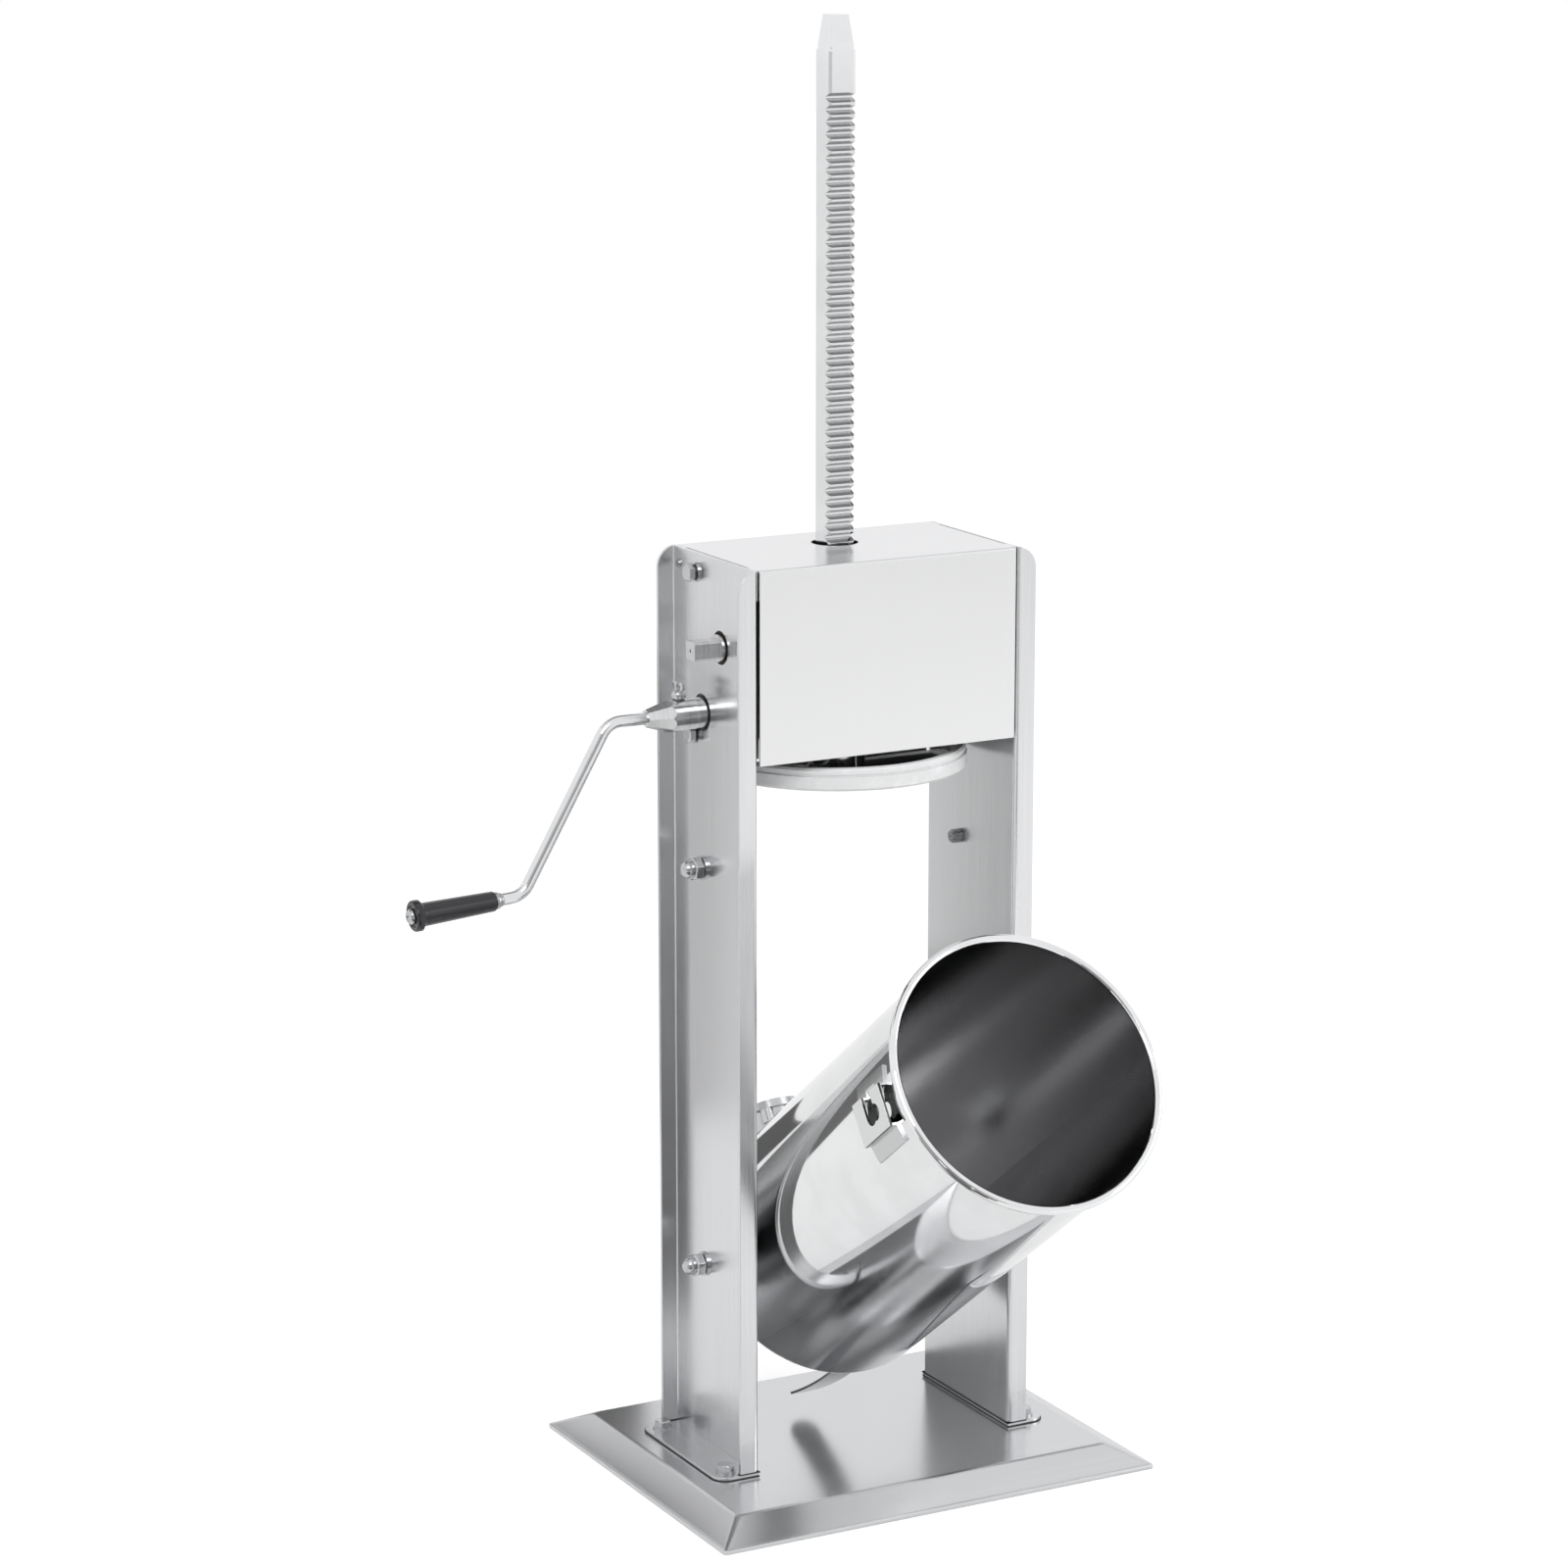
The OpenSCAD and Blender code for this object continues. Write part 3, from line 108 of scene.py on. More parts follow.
# An outline's steps: a length in millimetres and a share of a radius.
Steps = tuple[tuple[float, float], ...]


class Way(Enum):
    """A direction along which a grain, a turned mark or a fastener runs."""

    X = (1.0, 0.0, 0.0)
    Y = (0.0, 1.0, 0.0)
    Z = (0.0, 0.0, 1.0)

    @property
    def vector(self) -> Vector:
        """The direction as a unit vector."""
        return Vector(self.value)


@dataclass(frozen=True)
class Value:
    """A shader number that can be used in a Python expression."""

    graph: "Graph"
    socket: bpy.types.NodeSocket | None

    def _maths(self, operation: str, *values: Any) -> "Value":
        """Adds one Math node.

        Args:
            operation: the Math node's operation.
            values: its inputs in order.

        Returns:
            The node's result.
        """
        inputs = dict(enumerate(values))
        return self.graph.node("ShaderNodeMath", {"operation": operation}, inputs)

    def __add__(self, other: "Value | Number") -> "Value":
        """The sum of two values."""
        return self._maths("ADD", self, other)

    __radd__ = __add__

    def __sub__(self, other: "Value | Number") -> "Value":
        """This value less another."""
        return self._maths("SUBTRACT", self, other)

    def __rsub__(self, other: Number) -> "Value":
        """A number less this value."""
        return self._maths("SUBTRACT", other, self)

    def __mul__(self, other: "Value | Number") -> "Value":
        """The product of two values."""
        return self._maths("MULTIPLY", self, other)

    __rmul__ = __mul__

    def above(self, edge: Number) -> "Value":
        """1 where this value is above an edge, and 0 elsewhere."""
        return self._maths("GREATER_THAN", self, edge)

    def ramp(self, low: Number, high: Number, to_low: Number = 0.0, to_high: Number = 1.0) -> "Value":
        """This value mapped smoothly from one span to another, and held at its ends.

        Args:
            low: where the span starts.
            high: where the span ends.
            to_low: the result at the start.
            to_high: the result at the end.

        Returns:
            The mapped value.
        """
        settings = {"interpolation_type": "SMOOTHSTEP"}
        inputs = {0: self, 1: low, 2: high, 3: to_low, 4: to_high}
        return self.graph.node("ShaderNodeMapRange", settings, inputs)


class Graph:
    """The node tree of one material or world, with short ways to add its nodes."""

    def __init__(self, tree: bpy.types.NodeTree) -> None:
        """Empties a node tree.

        Args:
            tree: the node tree to fill.
        """
        tree.nodes.clear()
        self.tree = tree

    def node(self, kind: str, settings: dict[str, Any] | None = None, inputs: dict[Any, Any] | None = None,
             output: str | int = 0) -> Value:
        """Adds one node.

        Args:
            kind: the node's type.
            settings: attributes, set before its inputs.
            inputs: a number, a colour or a link for each input, by name or place.
            output: which output the result is.

        Returns:
            The chosen output, or an empty value for a node with none.
        """
        made = self.tree.nodes.new(kind)
        for key, setting in (settings or {}).items():
            setattr(made, key, setting)
        for key, given in (inputs or {}).items():
            socket = made.inputs[key]
            if isinstance(given, Value):
                self.tree.links.new(given.socket, socket)
            elif isinstance(given, tuple) and socket.type == "RGBA":
                socket.default_value = (*given, 1.0)
            else:
                socket.default_value = given
        return Value(self, made.outputs[output] if made.outputs else None)

    def place(self) -> Value:
        """The place on the piece, in metres, in the part's own frame."""
        return self.node("ShaderNodeTexCoord", output="Object")

    def scaled(self, place: Value, scale: Vector) -> Value:
        """A place stretched along each axis.

        Args:
            place: the place to stretch.
            scale: the factor along each axis.

        Returns:
            The stretched place.
        """
        return self.node("ShaderNodeMapping", inputs={"Vector": place, "Scale": scale})

    def noise(self, place: Value, scale: float, detail: float = 2.0, roughness: float = 0.5) -> Value:
        """Cloudy noise from 0 to 1.

        Args:
            place: where it is read.
            scale: how many clouds there are to a metre.
            detail: how many finer layers it has.
            roughness: how strong those layers are.

        Returns:
            The noise.
        """
        inputs = {"Vector": place, "Scale": scale, "Detail": detail, "Roughness": roughness}
        return self.node("ShaderNodeTexNoise", inputs=inputs)

    def blend(self, factor: Value, low: Any, high: Any) -> Value:
        """A mix of two colours.

        Args:
            factor: 0 for the first colour and 1 for the second.
            low: the first colour.
            high: the second colour.

        Returns:
            The mixed colour.
        """
        inputs = {"Factor": factor, 6: low, 7: high}
        return self.node("ShaderNodeMix", {"data_type": "RGBA"}, inputs, output=2)

    def dot(self, vector: Value, other: Vector) -> Value:
        """The dot product of a vector with a fixed one."""
        settings = {"operation": "DOT_PRODUCT"}
        return self.node("ShaderNodeVectorMath", settings, {0: vector, 1: other}, output="Value")

    def distance_from_line(self, place: Value, through: Vector, along: Vector) -> Value:
        """The distance of a place from a straight line.

        Args:
            place: the place.
            through: a point on the line.
            along: the line's unit direction.

        Returns:
            The distance, in metres.
        """
        offset = self.node("ShaderNodeVectorMath", {"operation": "SUBTRACT"}, {0: place, 1: through})
        across = self.node("ShaderNodeVectorMath", {"operation": "CROSS_PRODUCT"}, {0: offset, 1: along})
        return self.node("ShaderNodeVectorMath", {"operation": "LENGTH"}, {0: across}, output="Value")

    def soft_edges(self, radius: float) -> Value:
        """A normal that rounds every sharp edge a little.

        Args:
            radius: the rounding's radius, in metres.

        Returns:
            The normal.
        """
        return self.node("ShaderNodeBevel", {"samples": 6}, {"Radius": radius})

    def bump(self, height: Value, depth: float, strength: float, normal: Value) -> Value:
        """A normal from a height.

        Args:
            height: the height, from 0 to 1.
            depth: how deep the full height is, in metres.
            strength: how much of it shows.
            normal: the normal that it starts from.

        Returns:
            The normal.
        """
        inputs = {"Height": height, "Distance": depth, "Strength": strength, "Normal": normal}
        return self.node("ShaderNodeBump", inputs=inputs)

    def surface(self, inputs: dict[str, Any]) -> None:
        """Ends the tree with a Principled surface.

        Args:
            inputs: the surface's sockets.
        """
        shader = self.node("ShaderNodeBsdfPrincipled", inputs=inputs)
        self.node("ShaderNodeOutputMaterial", inputs={"Surface": shader})


@dataclass(frozen=True)
class Finish:
    """What every finish has: its name and its colour."""

    name: str
    colour: Colour

    def shaded(self, share: float) -> Colour:
        """The finish's colour, darker or lighter by a share."""
        return tuple(share * part for part in self.colour)

    def paint(self, graph: Graph) -> None:
        """Fills the node tree of the finish."""
        raise NotImplementedError

    def material(self) -> bpy.types.Material:
        """The finish as a material, made once.

        Returns:
            The material.
        """
        made = bpy.data.materials.get(self.name)
        if made is None:
            made = bpy.data.materials.new(self.name)
            made.use_nodes = True
            self.paint(Graph(made.node_tree))
        return made


@dataclass(frozen=True)
class BrushedSteel(Finish):
    """Stainless sheet with a straight grain, as it comes from the belt."""

    grain: Way = Way.Z
    roughness: float = 0.24
    spread: float = 0.5
    contrast: float = 0.1
    streaks: Span = (0.3, 0.7)
    grain_depth: float = 0.03 * MM
    grain_strength: float = 0.1
    lines_per_metre: float = 2600.0
    lines_per_band: float = 5.0
    line_stretch: float = 0.006
    line_share: float = 0.65
    line_gloss: float = 0.1
    smudges_per_metre: float = 9.0
    smudge_gloss: float = 0.05
    edge: float = 0.7 * MM

    def paint(self, graph: Graph) -> None:
        """Hair lines drive the roughness, a little of the colour and a fine bump.

        Args:
            graph: the tree that is filled.
        """
        place = graph.place()
        stretch = EVEN - self.grain.vector * (1.0 - self.line_stretch)
        along = graph.scaled(place, stretch)
        lines = graph.noise(along, self.lines_per_metre, detail=2.0, roughness=0.6)
        bands = graph.noise(along, self.lines_per_metre / self.lines_per_band)
        smudge = graph.noise(place, self.smudges_per_metre)
        dark = self.shaded(1.0 - self.contrast)
        drawn = lines * self.line_share + bands * (1.0 - self.line_share)
        colour = graph.blend(drawn.ramp(*self.streaks), dark, self.colour)
        roughness = self.roughness + (lines - MEAN) * self.line_gloss + (smudge - MEAN) * self.smudge_gloss
        normal = graph.bump(lines, self.grain_depth, self.grain_strength, graph.soft_edges(self.edge))
        graph.surface({"Base Color": colour, "Metallic": 1.0, "Roughness": roughness,
                       "Anisotropic": self.spread, "Normal": normal})


@dataclass(frozen=True)
class PolishedSteel(Finish):
    """Stainless steel polished bright, with a slight wave and faint wiping marks."""

    roughness: float = 0.045
    waves_per_metre: float = 14.0
    wave_depth: float = 0.6 * MM
    wave_strength: float = 0.004
    clouds_per_metre: float = 22.0
    clouds: Span = (0.35, 0.65)
    cloud_share: float = 0.94
    wipes_per_metre: float = 60.0
    wipe_stretch: float = 0.3
    wipes: Span = (0.45, 0.8)
    wipe_gloss: float = 0.04
    edge: float = 0.4 * MM

    def tint(self, graph: Graph, place: Value) -> Value:
        """The colour over the surface.

        Args:
            graph: the tree that is filled.
            place: the place on the piece.

        Returns:
            The colour.
        """
        clouds = graph.noise(place, self.clouds_per_metre, detail=3.0)
        return graph.blend(clouds.ramp(*self.clouds), self.shaded(self.cloud_share), self.colour)

    def gloss(self, graph: Graph, place: Value) -> Value:
        """The roughness over the surface.

        Args:
            graph: the tree that is filled.
            place: the place on the piece.

        Returns:
            The roughness.
        """
        along = graph.scaled(place, Vector((1.0, 1.0, self.wipe_stretch)))
        wiped = graph.noise(along, self.wipes_per_metre, detail=4.0, roughness=0.6)
        return self.roughness + wiped.ramp(*self.wipes, 0.0, self.wipe_gloss)

    def paint(self, graph: Graph) -> None:
        """A nearly clean mirror: only a slow wave bends its reflections.

        Args:
            graph: the tree that is filled.
        """
        place = graph.place()
        wave = graph.noise(place, self.waves_per_metre, detail=1.0)
        normal = graph.bump(wave, self.wave_depth, self.wave_strength, graph.soft_edges(self.edge))
        graph.surface({"Base Color": self.tint(graph, place), "Metallic": 1.0,
                       "Roughness": self.gloss(graph, place), "Normal": normal})


@dataclass(frozen=True)
class BarrelSteel(PolishedSteel):
    """The barrel's sheet: a mirror outside, and a ground surface inside whose darker colour is painted
    shade.
    """

    through: Vector = field(default_factory=Vector)
    along: Vector = field(default_factory=lambda: Way.Z.vector)
    inner_radius: float = 107.8 * MM
    margin: float = 0.4 * MM
    # Painted shade: the inside's colour is darker to stand for the shade inside the barrel.
    inside: Colour = (0.49, 0.49, 0.495)
    inside_roughness: float = 0.18
    rings_per_metre: float = 500.0
    ring_gloss: float = 0.1

    def outer(self, graph: Graph, place: Value) -> Value:
        """1 on the outer surface and 0 inside the barrel."""
        distance = graph.distance_from_line(place, self.through, self.along)
        return distance.above(self.inner_radius + self.margin)

    def tint(self, graph: Graph, place: Value) -> Value:
        """Bright outside, and darker inside as painted shade."""
        return graph.blend(self.outer(graph, place), self.inside, super().tint(graph, place))

    def gloss(self, graph: Graph, place: Value) -> Value:
        """Smooth outside, ground in rings inside.

        Args:
            graph: the tree that is filled.
            place: the place on the piece.

        Returns:
            The roughness.
        """
        height = graph.node("ShaderNodeCombineXYZ", inputs={2: graph.dot(place, self.along)})
        rings = graph.noise(height, self.rings_per_metre, detail=3.0, roughness=0.6)
        inside = self.inside_roughness + (rings - MEAN) * self.ring_gloss
        outer = self.outer(graph, place)
        return super().gloss(graph, place) * outer + inside * (1 - outer)


@dataclass(frozen=True)
class HookSteel(PolishedSteel):
    """Pressed sheet that stands off the barrel, with painted shade: its cut edges are painted nearly black
    and its folds grey.
    """

    outer_face: float = 115.0 * MM
    sheet: float = 2.0 * MM
    face_margin: float = 0.25 * MM
    fold_margin: float = 0.3 * MM
    # Painted shade: the folds are painted a little darker and the cut edges nearly black.
    fold_shade_share: float = 0.84
    cut_edge_shade_share: float = 0.08

    def tint(self, graph: Graph, place: Value) -> Value:
        """Light on the flat outer face, with painted shade: nearly black at the cut edges, grey on the
        folds.

        Args:
            graph: the tree that is filled.
            place: the place on the piece.

        Returns:
            The colour.
        """
        across = graph.dot(place, Way.X.vector)
        depth = across * across
        face = (self.outer_face - self.face_margin) ** 2
        fold = (self.outer_face - self.sheet - self.fold_margin) ** 2
        # Painted shade: grey on the folds and nearly black at the cut edges.
        side = graph.blend(depth.above(fold), self.shaded(self.fold_shade_share), self.shaded(self.cut_edge_shade_share))
        return graph.blend(depth.above(face), side, self.colour)


@dataclass(frozen=True)
class RackSteel(PolishedSteel):
    """A bright bar with painted shade in its tooth gaps, under their upper flanks."""

    front: float = 0.0
    half_width: float = 12.0 * MM
    last_tooth: float = 1.13
    mesh_height: float = 0.69
    module: float = 3.0 * MM
    depth_in_modules: float = 2.25
    side_margin: float = 0.4 * MM
    flank_shares: Span = (0.15, 0.5)
    floor_share: float = 1.1
    upper_shares: Span = (0.56, 0.68)
    shade_share: float = 0.34

    def tint(self, graph: Graph, place: Value) -> Value:
        """Bright all over, and dark with painted shade in the upper half of each gap between two teeth.

        Args:
            graph: the tree that is filled.
            place: the place on the piece.

        Returns:
            The colour.
        """
        across = graph.dot(place, Way.X.vector)
        depth = graph.dot(place, Way.Y.vector) - self.front
        height = graph.dot(place, Way.Z.vector)
        beside = (across * across).above((self.half_width - self.side_margin) ** 2)
        toothed = (1 - beside) * (1 - height.above(self.last_tooth))
        pitch = math.pi * self.module
        turns = (height - self.mesh_height) * (1.0 / pitch) + 0.5
        upper = graph.node("ShaderNodeMath", {"operation": "FRACT"}, {0: turns}).ramp(*self.upper_shares)
        gap = self.depth_in_modules * self.module
        flank = depth.ramp(*(share * gap for share in self.flank_shares))
        # Painted shade: the upper half of each tooth gap is darkened.
        shade = flank * (1 - depth.above(self.floor_share * gap)) * toothed * upper
        return graph.blend(shade, super().tint(graph, place), self.shaded(self.shade_share))


@dataclass(frozen=True)
class TurnedSteel(Finish):
    """Machined steel with fine marks across one axis, and a little oil in them."""

    across: Way = Way.X
    roughness: float = 0.2
    marks_per_metre: float = 900.0
    mark_stretch: float = 0.03
    mark_share: float = 0.6
    mark_gloss: float = 0.2
    mark_depth: float = 0.06 * MM
    mark_strength: float = 0.2
    smears_per_metre: float = 45.0
    smears: Span = (0.5, 0.8)
    smear_gloss: float = 0.1
    oil: Span = (0.3, 0.62)
    oil_share: float = 0.8
    edge: float = 0.4 * MM

    def paint(self, graph: Graph) -> None:
        """Marks across one axis, on steel that is a little uneven.

        Args:
            graph: the tree that is filled.
        """
        place = graph.place()
        keep = self.across.vector + (EVEN - self.across.vector) * self.mark_stretch
        marks = graph.noise(graph.scaled(place, keep), self.marks_per_metre, detail=3.0, roughness=0.65)
        smear = graph.noise(place, self.smears_per_metre, detail=3.0)
        oiled = marks * self.mark_share + smear * (1.0 - self.mark_share)
        colour = graph.blend(oiled.ramp(*self.oil), self.shaded(self.oil_share), self.colour)
        smeared = smear.ramp(*self.smears, 0.0, self.smear_gloss)
        roughness = self.roughness + (marks - MEAN) * self.mark_gloss + smeared
        normal = graph.bump(marks, self.mark_depth, self.mark_strength, graph.soft_edges(self.edge))
        graph.surface({"Base Color": colour, "Metallic": 1.0, "Roughness": roughness, "Normal": normal})


@dataclass(frozen=True)
class CastPaint(Finish):
    """Grey enamel over a casting."""

    roughness: float = 0.42
    lumps_per_metre: float = 420.0
    lump_gloss: float = 0.2
    lump_depth: float = 0.15 * MM
    lump_strength: float = 0.3
    wear_per_metre: float = 30.0
    wear: Span = (0.45, 0.7)
    worn_share: float = 1.25
    coat: float = 0.3
    coat_roughness: float = 0.25
    edge: float = 0.9 * MM

    def paint(self, graph: Graph) -> None:
        """Low lumps under a satin coat.

        Args:
            graph: the tree that is filled.
        """
        place = graph.place()
        lumps = graph.noise(place, self.lumps_per_metre, detail=3.0, roughness=0.55)
        worn = graph.noise(place, self.wear_per_metre, detail=3.0)
        colour = graph.blend(worn.ramp(*self.wear), self.colour, self.shaded(self.worn_share))
        roughness = self.roughness + (lumps - MEAN) * self.lump_gloss
        normal = graph.bump(lumps, self.lump_depth, self.lump_strength, graph.soft_edges(self.edge))
        graph.surface({"Base Color": colour, "Metallic": 0.0, "Roughness": roughness,
                       "Coat Weight": self.coat, "Coat Roughness": self.coat_roughness, "Normal": normal})


@dataclass(frozen=True)
class Moulded(Finish):
    """A moulded plastic or rubber piece with a fine skin."""

    roughness: float = 0.4
    skin_per_metre: float = 1500.0
    skin_gloss: float = 0.12
    skin_depth: float = 0.05 * MM
    skin_strength: float = 0.15
    rubs_per_metre: float = 55.0
    rubs: Span = (0.45, 0.75)
    rub_share: float = 1.12
    rub_dust: float = 0.006
    shine: Span = (0.4, 0.8)
    shine_gloss: float = 0.06
    coat: float = 0.0
    coat_roughness: float = 0.2
    edge: float = 0.5 * MM

    def paint(self, graph: Graph) -> None:
        """A fine skin, with slightly worn and dusty patches.

        Args:
            graph: the tree that is filled.
        """
        place = graph.place()
        skin = graph.noise(place, self.skin_per_metre)
        rubbed = graph.noise(place, self.rubs_per_metre, detail=4.0, roughness=0.6)
        lighter = tuple(min(1.0, part + self.rub_dust) for part in self.shaded(self.rub_share))
        colour = graph.blend(rubbed.ramp(*self.rubs), self.colour, lighter)
        shine = rubbed.ramp(*self.shine, self.shine_gloss, -self.shine_gloss)
        roughness = self.roughness + (skin - MEAN) * self.skin_gloss + shine
        normal = graph.bump(skin, self.skin_depth, self.skin_strength, graph.soft_edges(self.edge))
        graph.surface({"Base Color": colour, "Metallic": 0.0, "Roughness": roughness,
                       "Coat Weight": self.coat, "Coat Roughness": self.coat_roughness, "Normal": normal})


STEEL_COLOUR = (0.76, 0.765, 0.775)
BASE_COLOUR = (0.68, 0.685, 0.695)
BRIGHT_COLOUR = (0.84, 0.845, 0.85)
HOOK_COLOUR = (0.7, 0.705, 0.71)
RACK_COLOUR = (0.82, 0.825, 0.83)
CRANK_COLOUR = (0.8, 0.805, 0.81)
COLUMN_SHEET = BrushedSteel("column_sheet", STEEL_COLOUR, Way.Z)
BASE_SHEET = BrushedSteel("base_sheet", BASE_COLOUR, Way.X, roughness=0.23, spread=0.0, contrast=0.04,
                          grain_strength=0.04, edge=2.5 * MM)
PLATE_SHEET = BrushedSteel("plate_sheet", BASE_COLOUR, Way.Y, roughness=0.25, spread=0.0, contrast=0.04,
                           grain_strength=0.04)
COVER_SHEET = BrushedSteel("cover_sheet_metal", (0.8, 0.802, 0.805), Way.Z, roughness=0.2, spread=0.0,
                           contrast=0.03, grain_strength=0.04)
BRIGHT_STEEL = PolishedSteel("bright_steel", BRIGHT_COLOUR)
SHAFT_STEEL = TurnedSteel("shaft_steel", (0.7, 0.705, 0.71), Way.X)
HUB_STEEL = TurnedSteel("hub_steel", CRANK_COLOUR, Way.X, marks_per_metre=700.0, mark_strength=0.3)
ROD_STEEL = PolishedSteel("rod_steel", CRANK_COLOUR, roughness=0.14)
BOLT_STEEL = TurnedSteel("bolt_steel", (0.58, 0.585, 0.595), Way.X, roughness=0.16, mark_strength=0.05,
                         edge=0.2 * MM)
SPRING_STEEL = TurnedSteel("spring_steel", (0.1, 0.1, 0.105), Way.X, roughness=0.34, mark_strength=0.1)
STUD_STEEL = TurnedSteel("stud_steel", (0.3, 0.303, 0.31), Way.Z, roughness=0.22, mark_strength=0.1)
DARK_STEEL = PolishedSteel("dark_steel", (0.4, 0.405, 0.41), roughness=0.14, edge=0.2 * MM)
NUT_STEEL = PolishedSteel("nut_steel", (0.6, 0.605, 0.61), roughness=0.2, edge=0.15 * MM)
# Painted shadow: the nearly black finish of the thin lines that stand for contact shadow where sheet meets
# sheet.
CONTACT_SHADOW_PAINT = Moulded("contact_shadow_paint", (0.035, 0.035, 0.037), roughness=0.6)
# Bronze, darkened to nearly black as painted shade where the bushes show through the web holes.
BUSH_BRONZE_SHADED = TurnedSteel("bush_bronze_painted_shade", (0.07, 0.05, 0.03), Way.X, roughness=0.4)
FRAME_ENAMEL = CastPaint("frame_enamel", (0.12, 0.125, 0.13))
GRIP_PLASTIC = Moulded("grip_plastic", (0.01, 0.01, 0.011), roughness=0.5, coat=0.05)
GASKET_SILICONE = Moulded("gasket_silicone", (0.82, 0.825, 0.83), roughness=0.38, skin_strength=0.05)
VALVE_PLASTIC = Moulded("valve_plastic", (0.78, 0.78, 0.77), roughness=0.45)

BY_SLOT: dict[str, Finish] = {
    "brushed_stainless": COLUMN_SHEET,
    "polished_stainless": BRIGHT_STEEL,
    "cover_sheet": COVER_SHEET,
    "gear_steel": SHAFT_STEEL,
    "fasteners": BOLT_STEEL,
    "bronze": BUSH_BRONZE_SHADED,
    "cast_frame": FRAME_ENAMEL,
    "grip_plastic": GRIP_PLASTIC,
    "silicone": GASKET_SILICONE,
    "valve_plastic": VALVE_PLASTIC,
}
BY_NODE: dict[str, Finish] = {
    "base_plate": BASE_SHEET,
    "foot_plate_left": PLATE_SHEET,
    "foot_plate_right": PLATE_SHEET,
    "cover_screws": DARK_STEEL,
    "crank_hub": HUB_STEEL,
    "crank_rod": ROD_STEEL,
    "spring_washers": SPRING_STEEL,
    "tipping_handle": DARK_STEEL,
    "ring_nut": NUT_STEEL,
}


def put_on(piece: bpy.types.Object, finish: Finish) -> None:
    """Gives a piece one finish all over.

    Args:
        piece: the piece, a CAD node or a new one.
        finish: its finish.
    """
    if not piece.material_slots:
        piece.data.materials.append(finish.material())
    for slot in piece.material_slots:
        slot.material = finish.material()


class Bench:
    """Shapes new pieces with Blender's own tools, and hands them to the bodies that carry them."""

    @staticmethod
    def clear_selection() -> None:
        """Leaves edit mode and deselects everything."""
        if bpy.context.object and bpy.context.object.mode != "OBJECT":
            bpy.ops.object.mode_set(mode="OBJECT")
        bpy.ops.object.select_all(action="DESELECT")

    @classmethod
    def pick(cls, piece: bpy.types.Object) -> None:
        """Selects one piece alone, and makes it the active one.

        Args:
            piece: the piece.
        """
        cls.clear_selection()
        piece.select_set(True)
        bpy.context.view_layer.objects.active = piece

    @staticmethod
    def settle() -> None:
        """Fixes the selected piece's place, turn and scale in its mesh."""
        bpy.ops.object.transform_apply(location=True, rotation=True, scale=True)

    @classmethod
    def started(cls, name: str) -> bpy.types.Object:
        """The primitive that was just added, named and settled.

        Args:
            name: the piece's name.

        Returns:
            The piece.
        """
        piece = bpy.context.object
        piece.name = name
        cls.settle()
        return piece

    @classmethod
    def select_faces(cls, piece: bpy.types.Object, wanted: Callable[[Any], bool]) -> None:
        """Selects faces by their place or normal, and enters edit mode.

        Args:
            piece: the piece whose faces are meant.
            wanted: says which faces are selected.
        """
        cls.pick(piece)
        mesh = piece.data
        for group in (mesh.vertices, mesh.edges, mesh.polygons):
            group.foreach_set("select", [False] * len(group))
        for face in mesh.polygons:
            face.select = wanted(face)
        bpy.ops.object.mode_set(mode="EDIT")
        bpy.ops.mesh.select_mode(type="FACE")

    @classmethod
    def turned(cls, name: str, profile: Sequence[tuple[float, float]], sides: int = 48) -> bpy.types.Object:
        """Turns a closed piece round +Z by drawing its end face out step by step.

        Args:
            name: the piece's name.
            profile: height and radius at each step, in metres, from the first face to the last.
            sides: how many sides the piece has.

        Returns:
            The piece, standing on the origin's axis.
        """
        cls.clear_selection()
        height, radius = profile[0]
        start = (0.0, 0.0, height)
        bpy.ops.mesh.primitive_circle_add(vertices=sides, radius=radius, fill_type="NGON", location=start)
        piece = cls.started(name)
        bpy.ops.object.mode_set(mode="EDIT")
        bpy.ops.mesh.select_all(action="SELECT")
        for next_height, next_radius in profile[1:]:
            grow = next_radius / radius
            move = {"value": (0.0, 0.0, next_height - height)}
            bpy.ops.mesh.extrude_region_move(TRANSFORM_OT_translate=move)
            bpy.ops.transform.resize(value=(grow, grow, 1.0), center_override=(0.0, 0.0, next_height))
            height, radius = next_height, next_radius
        bpy.ops.mesh.select_all(action="SELECT")
        bpy.ops.mesh.remove_doubles(threshold=MERGE)
        bpy.ops.mesh.normals_make_consistent(inside=False)
        bpy.ops.object.mode_set(mode="OBJECT")
        return piece

    @classmethod
    def slab(cls, name: str, size: Vector, at: Vector) -> bpy.types.Object:
        """A block of a given size, the start of a cutter or a strip.

        Args:
            name: the piece's name.
            size: its three sides, in metres.
            at: its middle.

        Returns:
            The block.
        """
        cls.clear_selection()
        bpy.ops.mesh.primitive_cube_add(size=1.0, location=at)
        bpy.context.object.scale = size
        return cls.started(name)

    @classmethod
    def disc(cls, name: str, radius: float, height: float, at: Vector, sides: int = 48) -> bpy.types.Object:
        """An upright round disc.

        Args:
            name: the piece's name.
            radius: its radius.
            height: its height.
            at: its middle.
            sides: how many sides it has.

        Returns:
            The disc.
        """
        cls.clear_selection()
        bpy.ops.mesh.primitive_cylinder_add(vertices=sides, radius=radius, depth=height, location=at)
        return cls.started(name)

    @classmethod
    def carved(cls, piece: bpy.types.Object, cutter: bpy.types.Object) -> None:
        """Cuts one piece's shape out of another, and clears the cutter away.

        Args:
            piece: the piece that is cut.
            cutter: what is cut out of it.
        """
        cls.pick(piece)
        cut = piece.modifiers.new("cut", "BOOLEAN")
        cut.operation = "DIFFERENCE"
        cut.solver = "EXACT"
        cut.object = cutter
        bpy.ops.object.modifier_apply(modifier=cut.name)
        bpy.data.objects.remove(cutter)

